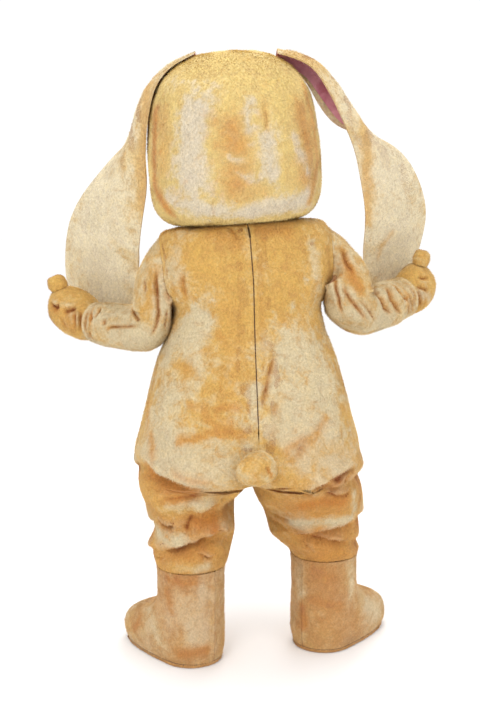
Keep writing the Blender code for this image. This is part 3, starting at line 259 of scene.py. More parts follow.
def cut_piece(node_name, name, levels, sharp=70.0):
    """A solid's shape as a skin of its own, with its triangles joined, its cut edges sharp and the rest
    rounded. Its vertices keep whether they are on a cut edge, rim, and how open they lie, open."""
    bpy.ops.object.select_all(action="DESELECT")
    piece = bpy.data.objects.new(name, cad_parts[node_name].data.copy())
    piece.data.name = name
    piece.data.materials.clear()
    bpy.context.scene.collection.objects.link(piece)
    bpy.context.view_layer.objects.active = piece
    piece.select_set(True)
    bpy.ops.mesh.customdata_custom_splitnormals_clear()
    bpy.ops.object.mode_set(mode="EDIT")
    bpy.ops.mesh.select_all(action="SELECT")
    bpy.ops.mesh.remove_doubles(threshold=1e-5)
    bpy.ops.mesh.tris_convert_to_quads(face_threshold=math.radians(50), shape_threshold=math.radians(70))
    bpy.ops.mesh.select_all(action="DESELECT")
    bpy.ops.mesh.select_mode(type="EDGE")
    bpy.ops.mesh.edges_select_sharp(sharpness=math.radians(sharp))
    bpy.ops.object.mode_set(mode="OBJECT")
    mesh = piece.data
    chosen = values(mesh.edges, "select", 1, bool)
    links = values(mesh.edges, "vertices", 2, np.int32)
    chain = np.arange(len(mesh.vertices))  # the lowest corner that sharp edges join each corner to
    while (chain[links[chosen, 0]] != chain[links[chosen, 1]]).any():
        low = chain[links[chosen]].min(1)
        np.minimum.at(chain, links[chosen, 0], low)
        np.minimum.at(chain, links[chosen, 1], low)
    run = np.bincount(chain[links[chosen, 0]], minlength=len(chain))
    chosen[chosen] = run[chain[links[chosen, 0]]] > SHORTEST_CUT
    mesh.attributes.new("crease_edge", "FLOAT", "EDGE").data.foreach_set("value", chosen.astype(np.float32))
    rim = np.zeros(len(mesh.vertices))
    rim[links[chosen].ravel()] = 1.0
    put(mesh, "rim", rim)
    seen = np.array([openness(v.co, v.normal) for v in mesh.vertices])
    neighbours = np.maximum(np.bincount(links.ravel(), minlength=len(seen)), 1)
    for _ in range(3):  # so that no single corner of the cloth counts as hidden
        seen = np.maximum(seen, 0.85 * beside(links, seen, len(seen)) / neighbours)
    put(mesh, "open", seen)
    if levels:
        round_off = piece.modifiers.new("round", "SUBSURF")
        round_off.levels = round_off.render_levels = levels
        own = points_of(mesh)
        held = own.copy()
        for _ in range(2):
            shape = piece.evaluated_get(bpy.context.evaluated_depsgraph_get()).data
            held += 0.8 * (own - values(shape.vertices, "co", 3)[: len(own)])
            out = held - own
            far = np.linalg.norm(out, axis=1)[:, None]
            held = own + out * np.minimum(far, HELD) / np.maximum(far, 1e-9)
            move_to(mesh, held)
            piece.update_tag()
            bpy.context.view_layer.update()
        bpy.ops.object.modifier_apply(modifier=round_off.name)
        cut_edges = values(mesh.attributes["crease_edge"].data, "value", 1) > 0.5
        mesh.shade_smooth()
        mesh.attributes.new("sharp_edge", "BOOLEAN", "EDGE").data.foreach_set("value", cut_edges)
    return piece


def arrays(piece):
    """A skin's points, its normals without the cut edges' walls, its triangles, which of them are such walls,
    and its rim and open columns."""
    mesh = piece.data
    mesh.calc_loop_triangles()
    points = points_of(mesh)
    faces = values(mesh.loop_triangles, "vertices", 3, np.int32)
    rim = values(mesh.attributes["rim"].data, "value", 1)
    seen = values(mesh.attributes["open"].data, "value", 1)
    wall = (rim[faces] > 0.98).all(1)
    cross = np.cross(points[faces[:, 1]] - points[faces[:, 0]], points[faces[:, 2]] - points[faces[:, 0]])
    normals = np.zeros_like(points)
    for corner in range(3):
        for axis in range(3):
            normals[:, axis] += np.bincount(
                faces[:, corner], cross[:, axis] * np.where(wall, 1e-3, 1.0), minlength=len(points)
            )
    normals /= np.maximum(np.linalg.norm(normals, axis=1), 1e-12)[:, None]
    return points, normals, faces, wall, rim, seen


def nearest(points, line):
    """The distance from each point to the nearest of a line's points, and which one that is."""
    best, which = np.full(len(points), 9.0), np.zeros(len(points), int)
    close = np.flatnonzero(((points > line.min(0) - 0.2) & (points < line.max(0) + 0.2)).all(1))
    for first in range(0, len(close), 4000):
        part = close[first : first + 4000]
        away = np.linalg.norm(points[part, None] - line[None], axis=2)
        best[part], which[part] = away.min(1), away.argmin(1)
    return best, which


WAYS = {  # the side that a line is drawn on: its two coordinates, and the axis and sign of the line of sight
    "back": (0, 2, 1, 1.0),
    "front": (0, 2, 1, -1.0),
    "left": (1, 2, 0, 1.0),
    "right": (1, 2, 0, -1.0),
}


def traced(tree, side, corners):
    """Points 4 mm apart on the cloth along a line drawn in millimetres on one of its sides, the cloth's
    normals there, and how squarely it faces that side."""
    first, second, depth, sign = WAYS[side]
    corners = np.array(corners, float) / 1000
    lengths = np.linalg.norm(np.diff(corners, axis=0), axis=1)
    run = np.concatenate([[0], np.cumsum(lengths)])
    steps = np.linspace(0, run[-1], max(3, int(run[-1] / 0.004)))
    found = []
    for a, b in zip(np.interp(steps, run, corners[:, 0]), np.interp(steps, run, corners[:, 1])):
        start, way = Vector((0, 0, 0)), Vector((0, 0, 0))
        start[first], start[second], start[depth], way[depth] = a, b, -2.0 * sign, sign
        place, normal, _, _ = tree.ray_cast(start, way)
        if place is not None:
            found.append((*place, *normal))
    if len(found) < 3:
        return None
    found = np.array(found)
    padded = np.pad(found[:, 3:], ((4, 4), (0, 0)), mode="edge")
    even = np.stack([np.convolve(padded[:, axis], np.ones(9) / 9, "valid") for axis in range(3)], axis=1)
    even /= np.linalg.norm(even, axis=1)[:, None]
    return np.column_stack([found[:, :3], even, -sign * even[:, depth]])


def ripple(points, length, seed):
    """A smooth irregular wave over the points, about -1 to 1, with that distance between its crests."""
    chance = np.random.default_rng(seed)
    ways = chance.normal(size=(9, 3))
    ways *= (2 * math.pi / length * chance.uniform(0.7, 1.4, 9) / np.linalg.norm(ways, axis=1))[:, None]
    return np.sin(points @ ways.T + chance.uniform(0, 6.3, 9)).sum(1) / 3.5


def fold(points, line, kind, width):
    """How one fold lifts the cloth, and how much it presses and brushes up its pile and paints shade on it,
    at each point.
    A roll hangs over the dip under it, where it paints shade. A trough has soft lips and painted shade along
    its bottom, and a ridge is its crest alone."""
    distance, which = nearest(points, line[:, :3])
    along = np.gradient(line[:, :3], axis=0)
    up = np.cross(line[:, 3:6], along)
    up /= np.maximum(np.linalg.norm(up, axis=1), 1e-9)[:, None]
    up *= np.where(up[:, 2] + 0.3 * up[:, 0] < 0, -1, 1)[:, None]
    apart = points - line[which, :3]
    over, out = (apart * up[which]).sum(1), (apart * line[which, 3:6]).sum(1)
    past = np.sqrt(np.clip(distance**2 - over**2 - out**2, 0, None))
    run = which / (len(line) - 1)
    here = np.clip(np.minimum(run, 1 - run) * 3.5, 0, 1) ** 0.8 * np.exp(-((past / (1.5 * width)) ** 2))
    here *= 0.82 + 0.18 * ripple(points, 0.05, 5)
    here *= (distance < 0.15) & (np.abs(out) < 0.06)
    here *= np.clip(line[which, 6] / 0.55, 0.12, 1)

    def hill(middle, spread):
        return np.exp(-(((over - middle * width) / (spread * width)) ** 2))

    if kind == "roll":
        upper = 1 / (1 + np.exp(-np.clip(over / (0.16 * width), -30, 30)))
        lift = 0.75 * upper * hill(0.8, 2.0) - (1 - upper) * hill(-0.4, 1.7)
        # Under a roll: the warm band is partly crushed pile and partly painted shade, and just under the
        # overhang the fold paints shade.
        pressed_and_painted_shade, brushed = (1 - upper) * hill(-0.7, 2.4), upper * hill(1.0, 1.4)
        dark = (1 - upper) * hill(-0.3, 1.3)
    elif kind == "trough":
        lift = 0.30 * (hill(1.9, 1.0) + hill(-1.9, 1.0)) - hill(0, 1.0)
        # In a trough: the warm band is partly crushed pile and partly painted shade, and its bottom is
        # painted shade.
        pressed_and_painted_shade, brushed = hill(0, 1.1), 0.6 * (hill(1.9, 0.9) + hill(-1.9, 0.9))
        dark = 0.65 * hill(0, 0.5)
    else:
        lift = hill(0, 1.0)
        pressed_and_painted_shade, brushed, dark = 0.25 * hill(-1.6, 0.9), hill(0.1, 0.9), np.zeros(len(points))
    return line[which, 3:6] * (lift * here)[:, None], pressed_and_painted_shade * here, brushed * here, dark * here


FINEST_FOLD = 0.0045  # the width of the finest fold that the skins' faces can show
REFINED = 0.014  # how far from a fold's line the skins get smaller faces


def refine(piece, lines):
    """Cuts the faces near the folds' lines that show into nine, so that the folds come out crisp."""
    near = nearby(np.concatenate([line[:, :3] for line in lines]))
    centres = values(piece.data.polygons, "center", 3)
    seen = values(piece.data.attributes["open"].data, "value", 1)
    visible = [max(seen[k] for k in face.vertices) > 0.08 for face in piece.data.polygons]
    chosen = np.array([shown and near.find(c)[2] < REFINED for shown, c in zip(visible, centres)])
    if not chosen.any():
        return
    bpy.ops.object.mode_set(mode="EDIT")
    bpy.ops.mesh.select_mode(type="FACE")
    bpy.ops.mesh.select_all(action="DESELECT")
    bpy.ops.object.mode_set(mode="OBJECT")
    piece.data.polygons.foreach_set("select", chosen)
    bpy.ops.object.mode_set(mode="EDIT")
    bpy.ops.mesh.subdivide(number_cuts=2, smoothness=0.0)
    bpy.ops.object.mode_set(mode="OBJECT")


SINK = 0.0025  # how far the cloth lies under the tips of its pile
SEAM_REACH = 0.009  # from a cut edge to where it lies that deep
LIFE = 0.0014  # how far the cloth swells and sinks between its folds
SWELL, DIMPLE, CLUMP, CURL = 0.070, 0.024, 0.034, 0.014  # how far apart the cloth's and the pile's waves are
FULL_FOLD = 0.012  # the depth from which a fold shows its full colours, its painted shade among them
SHADED_EDGE = 0.0045  # along a cut edge, where the pile is parted, painted shade in the seam's groove


def tailor(piece, tree, folds=(), strokes=(), base=0.25):
    """Works a skin over: presses it under its pile, up to its seams, and adds its smaller folds. It paints
    shade into the skin's creases, under its rolls, into its hidden places and along its seams. A fold is a
    side, a kind, a width, a depth and the line's corners. A brush stroke is a side, a width, how pale it
    leaves the pile, how warm it paints it, which is partly crushed pile and partly painted shade, and the
    line's corners. Lengths are in millimetres."""
    lines = [traced(tree, side, corners) for side, _, _, _, corners in folds]
    folds = [
        (line, kind, width / 1000, depth / 1000)
        for line, (_, kind, width, depth, _) in zip(lines, folds)
        if line is not None
    ]
    if folds:
        refine(piece, [line for line, *_ in folds])
    points, normals, _, _, rim, seen = arrays(piece)
    edge_points = points[rim > 0.98]
    away = np.full(len(points), 1.0)
    if len(edge_points):
        edges = nearby(edge_points)
        away = np.array([edges.find(p)[2] for p in points])
    outer = np.clip(seen * 8, 0, 1)
    lowered = SINK * np.clip(away / SEAM_REACH, 0.10, 1)
    moved = points - normals * (lowered * outer)[:, None]
    wave = ripple(points, SWELL, 3) + ripple(points, DIMPLE, 4) * 0.35
    wave = np.maximum(wave * LIFE, -0.0006)  # the outside stays clear of the cloth's inside
    moved += normals * (wave * outer * np.clip(away / 0.02, 0, 1))[:, None]
    nap = base + 0.10 * ripple(points, 0.16, 21)
    warm, shaded = np.zeros(len(points)), np.zeros(len(points))
    # A stroke's warmth is partly crushed pile and partly painted shade, where strokes lie under rolls and
    # along edges beside other parts.
    for side, width, paleness, warmth, corners in strokes:
        line = traced(tree, side, corners)
        if line is not None:
            distance, _ = nearest(points, line[:, :3])
            rough = distance * (1 + 0.30 * ripple(points, CLUMP, 8) + 0.22 * ripple(points, CURL, 9))
            share = np.exp(-((np.abs(rough) / (width / 1000)) ** 2))
            nap += (paleness - nap) * share
            warm += (0.75 * warmth - warm) * share
    for line, kind, width, depth in folds:
        lift, pressed_and_painted_shade, brushed, dark = fold(points, line, kind, max(width, FINEST_FOLD))
        moved += lift * depth
        strong = min(1.0, depth / FULL_FOLD) ** 1.6
        # The fold paints its warm band, partly crushed pile and partly painted shade, and its painted shade.
        warm += (0.75 - warm) * pressed_and_painted_shade * strong
        nap += (0.15 - nap) * pressed_and_painted_shade * strong
        nap += (0.85 - nap) * brushed * strong * 0.8
        shaded = np.maximum(shaded, dark * strong)
    move_to(piece.data, moved)
    links = values(piece.data.edges, "vertices", 2, np.int32)
    spread = moved
    neighbours = np.maximum(np.bincount(links.ravel(), minlength=len(moved)), 1)[:, None]
    for _ in range(7):
        total = np.stack([beside(links, spread[:, axis], len(moved)) for axis in range(3)], axis=1)
        spread = total / neighbours
    # Painted shade: darker where the skin lies below its smoothed neighbours, in its creases and dips; darker
    # where the folds paint it; darker where the skin sees little of the room, under the arms and between
    # parts; and a little along its seams' grooves.
    painted_shade = np.clip((((spread - moved) * normals).sum(1) - 0.0008) / 0.0075, -0.1, 0.6)
    painted_shade = np.clip(painted_shade + shaded + np.clip((0.50 - seen) / 0.50, 0, 1) * 0.55, 0, 1)
    painted_shade = np.maximum(painted_shade, np.clip(1 - away / SHADED_EDGE, 0, 1) * 0.30)
    put(piece.data, "nap", nap)
    put(piece.data, "warm", warm)
    put(piece.data, "painted_shade", painted_shade)
    put(piece.data, "away", away)
    put(piece.data, "tip", np.zeros(len(moved)))
    return piece


SWIRL = 0.11  # how far apart the turns in the pile's lie are
SHORTER = 0.012  # along a cut edge, where the pile is shorter


def pile(piece, name, per_cm2, length, lean=58.0, width=0.0015, seed=1, upright=False, cloth=None):
    """The tufts of pile that stand on a skin's open side, each a slim blade that lies along the nap.
    One blade stands for the few dozen fibres that cling together in a tuft."""
    points, _, faces, wall, _, seen = arrays(piece)
    normals = values(piece.data.vertex_normals, "vector", 3).astype(float)
    keep = ~wall & (seen[faces].mean(1) > 0.06)
    if upright:
        keep = np.abs(normals[faces].mean(1)[:, 2]) < 0.6
    faces = faces[keep]
    a, b, c = (points[faces[:, k]] for k in range(3))
    area = np.linalg.norm(np.cross(b - a, c - a), axis=1) / 2
    chance = np.random.default_rng(seed)
    wanted = area * per_cm2 * 1e4 * np.clip(seen[faces].mean(1) * 5, 0.3, 1)
    count = (wanted + chance.random(len(faces))).astype(int)
    which = np.repeat(np.arange(len(faces)), count)
    total = len(which)
    u, v = chance.random(total), chance.random(total)
    over = u + v > 1
    u[over], v[over] = 1 - u[over], 1 - v[over]
    shares = np.stack([1 - u - v, u, v], axis=1)

    def over_face(column):
        if column.ndim == 1:
            return (column[faces[which]] * shares).sum(1)
        return (column[faces[which]] * shares[:, :, None]).sum(1)

    root, out = over_face(points), over_face(normals)
    out /= np.linalg.norm(out, axis=1)[:, None]
    near_edge = np.clip(over_face(values(piece.data.attributes["away"].data, "value", 1)) / SHORTER, 0, 1)
    swirl = np.stack([ripple(root, SWIRL, seed + k) for k in (11, 12, 13)], axis=1)
    lie = np.array([0.0, 0.0, -1.0]) + 0.55 * swirl
    lie = lie + chance.normal(size=(total, 3)) * 0.35
    lie -= out * (lie * out).sum(1)[:, None]
    lie /= np.maximum(np.linalg.norm(lie, axis=1), 1e-9)[:, None]
    tilt = np.radians(lean + chance.normal(size=total) * 9)[:, None]
    way = out * np.cos(tilt) + lie * np.sin(tilt)
    across = np.cross(way, out)
    across /= np.maximum(np.linalg.norm(across, axis=1), 1e-9)[:, None]
    size = length * chance.uniform(0.7, 1.2, total) * (0.55 + 0.45 * near_edge)
    foot = root - out * 0.0004
    half = across * (width * chance.uniform(0.35, 0.6, total))[:, None]
    blades = np.stack([foot - half, foot + half, foot + way * size[:, None]], axis=1).reshape(-1, 3)
    blades[:, 2] = np.maximum(blades[:, 2], FLOOR)
    mesh = bpy.data.meshes.new(name)
    mesh.vertices.add(total * 3)
    mesh.vertices.foreach_set("co", blades.astype(np.float32).ravel())
    mesh.loops.add(total * 3)
    mesh.loops.foreach_set("vertex_index", np.arange(total * 3, dtype=np.int32))
    mesh.polygons.add(total)
    mesh.polygons.foreach_set("loop_start", np.arange(0, total * 3, 3, dtype=np.int32))
    mesh.update()
    # The blades take the skin's colour columns, its painted shade among them.
    for key in ("nap", "warm", "painted_shade"):
        column = over_face(values(piece.data.attributes[key].data, "value", 1))
        put(mesh, key, np.repeat(column, 3))
    tips = np.zeros((total, 3))
    tips[:, 2] = chance.uniform(0.6, 1.0, total)
    put(mesh, "tip", tips.ravel())
    made = bpy.data.objects.new(name, mesh)
    bpy.context.scene.collection.objects.link(made)
    made.data.materials.append(cloth or piece.data.materials[0])
    return made


def draw_in(piece, tree, reach, rest):
    """Draws a skin up to its neighbour where it is within reach of it, so that it rests at that gap."""
    points = points_of(piece.data)
    for k, point in enumerate(points):
        place, _, _, gap = tree.find_nearest(Vector(point), reach)
        if place is not None and gap > rest:
            share = min(1.0, (reach - gap) / (0.4 * reach)) * (gap - rest) / gap
            points[k] += (np.array(place) - point) * share
    move_to(piece.data, points)


def middle_line(node_name, step):
    """Points along the middle of an upright strip, that far apart."""
    corners = points_of(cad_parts[node_name].data)
    corners = corners[corners[:, 2].argsort()]
    middle = corners[: len(corners) // 4 * 4].reshape(-1, 4, 3).mean(axis=1)
    run = np.concatenate([[0], np.cumsum(np.linalg.norm(np.diff(middle, axis=0), axis=1))])
    steps = np.arange(0.001, run[-1] - 0.001, step)
    return np.stack([np.interp(steps, run, middle[:, axis]) for axis in range(3)], axis=1)


LEANS = 0.0014  # how far the panels' edges lean over the zip
LEANING = (0.018, 0.011)  # from the zip to where a panel starts to lean, and from there to its full lean


def close_zip(piece, hand):
    """Leans a back panel's edge over the zip. hand is +1 for the right panel and -1 for the left."""
    points = points_of(piece.data)
    line = middle_line("zip_chain", 0.004)
    above = line[-1] + (line[-1] - line[-2]) * np.arange(1, 16)[:, None]
    distance, _ = nearest(points, np.concatenate([line, above]))
    share = np.clip((LEANING[0] - distance) / LEANING[1], 0, 1)
    points -= hand * LEANS * share[:, None] * np.array([0.994, 0.113, 0.0])
    move_to(piece.data, points)


TAN = plush("golden_tan_acrylic_plush", gold="#E0B766", pale="#E0D0AA", warm="#CE8B44", shade="#93502A")
PANELS = {  # the cut's width and length, and its area
    "body_back_left": (0.56, 1.26, 0.56),
    "body_back_right": (0.58, 1.26, 0.59),
    "body_front_left": (0.56, 1.26, 0.57),
    "body_front_right": (0.58, 1.26, 0.59),
}
BODY_FOLDS = [  # side, kind, width, depth and the line's corners, in millimetres
    ("back", "trough", 9, 8, [(-68, -9), (-50, -26), (-35, -50)]),
    ("back", "trough", 9, 10, [(-205, -145), (-208, -180), (-194, -238)]),
    ("back", "trough", 7, 6, [(-247, -164), (-233, -211), (-225, -238)]),
    ("back", "trough", 12, 8, [(-241, -260), (-246, -301), (-255, -331)]),
    ("back", "ridge", 6, 3.5, [(-188, -178), (-158, -169), (-105, -174)]),
    ("back", "ridge", 6, 3.5, [(-189, -228), (-137, -224), (-89, -231)]),
    ("back", "ridge", 5, 2.5, [(-186, -200), (-150, -196), (-120, -202)]),
    ("back", "trough", 6, 4, [(-181, -295), (-159, -302), (-137, -295)]),
    ("back", "trough", 9, 4, [(-170, -318), (-130, -330), (-110, -322)]),
    ("back", "ridge", 10, 3, [(-65, -50), (-62, -198), (-53, -317)]),
    ("back", "trough", 9, 4, [(34, -20), (31, -139), (37, -318), (46, -464)]),
    ("back", "ridge", 7, 3, [(150, -186), (181, -169), (220, -184)]),
    ("back", "ridge", 12, 5, [(-199, -399), (-164, -421), (-134, -444), (-101, -454)]),
    ("back", "ridge", 7, 3.5, [(-125, -407), (-104, -419), (-87, -422)]),
    ("back", "trough", 9, 4, [(-87, -402), (-87, -463), (-95, -528)]),
    ("back", "trough", 9, 9, [(73, -383), (56, -444), (34, -544)]),
    ("back", "ridge", 14, 6, [(103, -396), (77, -490), (51, -573), (34, -624)]),
    ("back", "trough", 8, 5, [(77, -522), (60, -570)]),
    ("back", "trough", 14, 6, [(232, -586), (194, -634), (139, -687), (96, -712)]),
    ("back", "trough", 10, 5, [(178, -620), (135, -684)]),
    ("back", "roll", 14, 24, [(-334, -716), (-286, -739), (-250, -752), (-177, -767), (-130, -790)]),
    ("back", "trough", 11, 12, [(-288, -843), (-251, -826), (-210, -821), (-179, -810), (-136, -807)]),
    ("back", "roll", 13, 22, [(-90, -850), (-125, -856), (-171, -871)]),
    ("back", "trough", 11, 14, [(-175, -876), (-187, -907), (-202, -945)]),
    (
        *("back", "roll", 14, 24),
        [(-60, -972), (-94, -942), (-138, -956), (-179, -975), (-227, -993), (-290, -1019)],
    ),
    ("back", "roll", 10, 18, [(-291, -906), (-269, -921), (-235, -923)]),
    ("back", "roll", 6, 10, [(-170, -1009), (-147, -1016), (-127, -1027), (-103, -1026)]),
    ("back", "trough", 6, 6, [(-305, -1051), (-271, -1037)]),
    ("back", "ridge", 16, 6, [(-215, -860), (-225, -900), (-240, -960)]),
    ("back", "roll", 14, 24, [(336, -744), (307, -744), (253, -757), (200, -785), (150, -822)]),
    ("back", "ridge", 8, 11, [(307, -752), (274, -775), (256, -802)]),
    ("back", "roll", 7, 11, [(235, -808), (263, -827), (295, -831), (316, -820)]),
    ("back", "trough", 9, 12, [(305, -763), (297, -800)]),
    ("back", "roll", 14, 24, [(147, -994), (181, -975), (241, -951), (304, -944), (334, -966)]),
    ("back", "roll", 9, 16, [(182, -990), (213, -993), (275, -1005), (312, -1025)]),
    ("back", "trough", 6, 8, [(165, -1015), (184, -1033), (203, -1055)]),
    ("back", "trough", 6, 6, [(63, -960), (93, -965), (131, -989)]),
    ("back", "trough", 7, 7, [(56, -927), (80, -934), (127, -939)]),
    ("front", "trough", 12, 8, [(-120, -30), (-90, -90), (-75, -170)]),
    ("front", "trough", 10, 7, [(100, -20), (85, -85), (60, -150)]),
    ("front", "trough", 12, 9, [(-230, -250), (-180, -300), (-120, -330)]),
    ("front", "trough", 11, 8, [(220, -240), (190, -290), (130, -315)]),
    ("front", "ridge", 16, 6, [(-150, -420), (-60, -450), (50, -440), (140, -415)]),
    ("front", "trough", 12, 9, [(-200, -560), (-130, -620), (-60, -660)]),
    ("front", "trough", 12, 10, [(210, -570), (150, -640), (70, -680)]),
    ("front", "trough", 10, 6, [(-60, -600), (10, -625), (80, -605)]),
    ("front", "roll", 19, 17, [(-330, -780), (-250, -810), (-160, -830), (-80, -860)]),
    ("front", "roll", 18, 15, [(330, -800), (260, -835), (180, -845), (100, -880)]),
    ("front", "roll", 16, 17, [(-290, -930), (-200, -955), (-110, -940)]),
    ("front", "roll", 16, 17, [(340, -915), (250, -945), (150, -960)]),
    ("front", "roll", 15, 14, [(-280, -1035), (-190, -1025), (-100, -1040)]),
    ("front", "roll", 15, 14, [(335, -1010), (260, -1030), (170, -1020)]),
    ("left", "roll", 21, 11, [(-130, -745), (-40, -770), (60, -775), (130, -800)]),
    ("left", "roll", 19, 11, [(-120, -930), (-40, -955), (50, -945)]),
    ("left", "roll", 18, 10, [(-130, -1020), (-40, -1040), (40, -1030)]),
    ("right", "roll", 21, 11, [(-120, -765), (-20, -790), (80, -800), (160, -815)]),
    ("right", "roll", 19, 11, [(-60, -930), (30, -950), (120, -940)]),
    ("right", "roll", 18, 10, [(-50, -1020), (40, -1035), (130, -1020)]),
]
BODY_STROKES = [  # side, width, how pale, how warm (partly crushed pile, partly painted shade), and the line's corners
    ("back", 170, 0.14, 0.62, [(-200, -880), (-190, -1060)]),
    ("back", 170, 0.12, 0.75, [(200, -880), (240, -1060)]),
    ("front", 170, 0.12, 0.60, [(-200, -880), (-190, -1060)]),
    ("front", 170, 0.12, 0.60, [(200, -880), (240, -1060)]),
    ("back", 80, 0.10, 0.05, [(-152, -115), (-107, -183), (-47, -228)]),
    ("back", 80, 0.12, 0.05, [(73, -116), (150, -186), (90, -260)]),
    ("back", 34, 0.55, 0.10, [(-206, -36), (-225, -105), (-222, -150)]),
    ("back", 30, 0.05, 0.42, [(-107, -22), (-38, -56)]),
    ("back", 26, 0.05, 0.55, [(34, -21), (112, -21)]),
    ("back", 22, 0.60, 0.05, [(186, -61), (199, -137), (205, -190)]),
    ("back", 60, 0.80, 0.00, [(-240, -370), (-258, -490), (-269, -592)]),
    ("back", 50, 0.75, 0.00, [(-165, -300), (-185, -370), (-190, -470)]),
    ("back", 30, 0.92, 0.00, [(-184, -286), (-130, -294), (-150, -334)]),
    ("back", 20, 0.30, 0.25, [(-214, -423), (-183, -438)]),
    ("back", 12, 0.15, 0.55, [(-95, -329), (-77, -349)]),
    ("back", 36, 0.10, 0.20, [(-56, -258), (-44, -405), (-60, -500)]),
    ("back", 16, 0.20, 0.60, [(-322, -560), (-318, -650)]),
    ("back", 13, 0.85, 0.00, [(7, -480), (10, -592)]),
    ("back", 14, 0.85, 0.00, [(88, -378), (64, -479)]),
    ("back", 90, 0.85, 0.00, [(150, -381), (205, -474), (225, -565), (220, -650)]),
    ("back", 60, 0.75, 0.00, [(110, -500), (110, -600)]),
    ("back", 14, 0.25, 0.45, [(232, -586), (194, -634)]),
    ("back", 100, 0.80, 0.05, [(-290, -659), (-200, -680), (-106, -693)]),
    ("back", 80, 0.70, 0.15, [(147, -670), (230, -690), (273, -720)]),
    ("back", 10, 0.15, 0.65, [(-171, -546), (-121, -552), (-71, -540), (-41, -540)]),
    ("back", 12, 0.15, 0.70, [(-218, -645), (-163, -634), (-124, -617), (-82, -612), (-20, -618)]),
    ("back", 12, 0.15, 0.55, [(-140, -565), (-90, -600), (-60, -585)]),
    ("back", 14, 0.20, 0.55, [(-306, -640), (-294, -700)]),
    ("back", 12, 0.30, 0.50, [(-223, -726), (-174, -744), (-135, -757)]),
    ("back", 12, 0.25, 0.55, [(148, -641), (102, -673)]),
    # Down the legs, the warm strokes lie under the rolls: partly crushed pile, partly painted shade under the
    # overhangs. Those of warmth 1.00 and more are painted shade.
    ("back", 24, 0.15, 0.45, [(-330, -770), (-260, -800), (-160, -830)]),
    ("back", 22, 0.15, 0.60, [(-150, -900), (-80, -890)]),
    ("back", 30, 0.80, 0.00, [(-300, -960), (-220, -965)]),
    ("back", 22, 0.20, 0.55, [(-260, -1040), (-160, -1030)]),
    ("back", 30, 0.15, 0.50, [(320, -850), (240, -860), (170, -890)]),
    ("back", 18, 0.75, 0.05, [(130, -940), (240, -925), (320, -925)]),
    ("back", 22, 0.20, 0.60, [(180, -1020), (290, -990)]),
    ("back", 20, 0.10, 1.00, [(-310, -750), (-250, -785), (-180, -800)]),
    ("back", 30, 0.40, 0.05, [(-270, -865), (-200, -855), (-140, -835)]),
    ("back", 22, 0.10, 1.10, [(-165, -900), (-120, -900), (-110, -925)]),
    ("back", 22, 0.10, 1.10, [(160, -870), (220, -850), (290, -860)]),
    ("back", 16, 0.70, 0.00, [(330, -840), (335, -900)]),
    ("back", 18, 0.45, 0.10, [(-240, -1060), (-130, -1060)]),
    ("front", 100, 0.70, 0.00, [(-180, -400), (-200, -560)]),
    ("front", 90, 0.65, 0.00, [(170, -380), (190, -540)]),
    ("front", 60, 0.60, 0.05, [(-60, -120), (60, -140)]),
    ("front", 50, 0.10, 0.40, [(-40, -300), (30, -420)]),
    ("left", 70, 0.70, 0.00, [(40, -420), (60, -600)]),
    ("right", 70, 0.70, 0.00, [(40, -420), (60, -600)]),
]
body_tree = tree_of(PANELS)
for panel_name, (width, length, area) in PANELS.items():
    panel = cut_piece(panel_name, panel_name + "_cloth", 2, sharp=80.0)
    panel.data.materials.append(TAN)
    tailor(panel, body_tree, BODY_FOLDS, BODY_STROKES)
    if "back" in panel_name:
        close_zip(panel, 1 if "right" in panel_name else -1)
    density = 9.5 if "back" in panel_name else 6.0
    tufts = pile(panel, panel_name + "_pile", density, 0.0085, seed=len(panel_name))
    dress(panel_name, "tan_plush", panel, tufts)

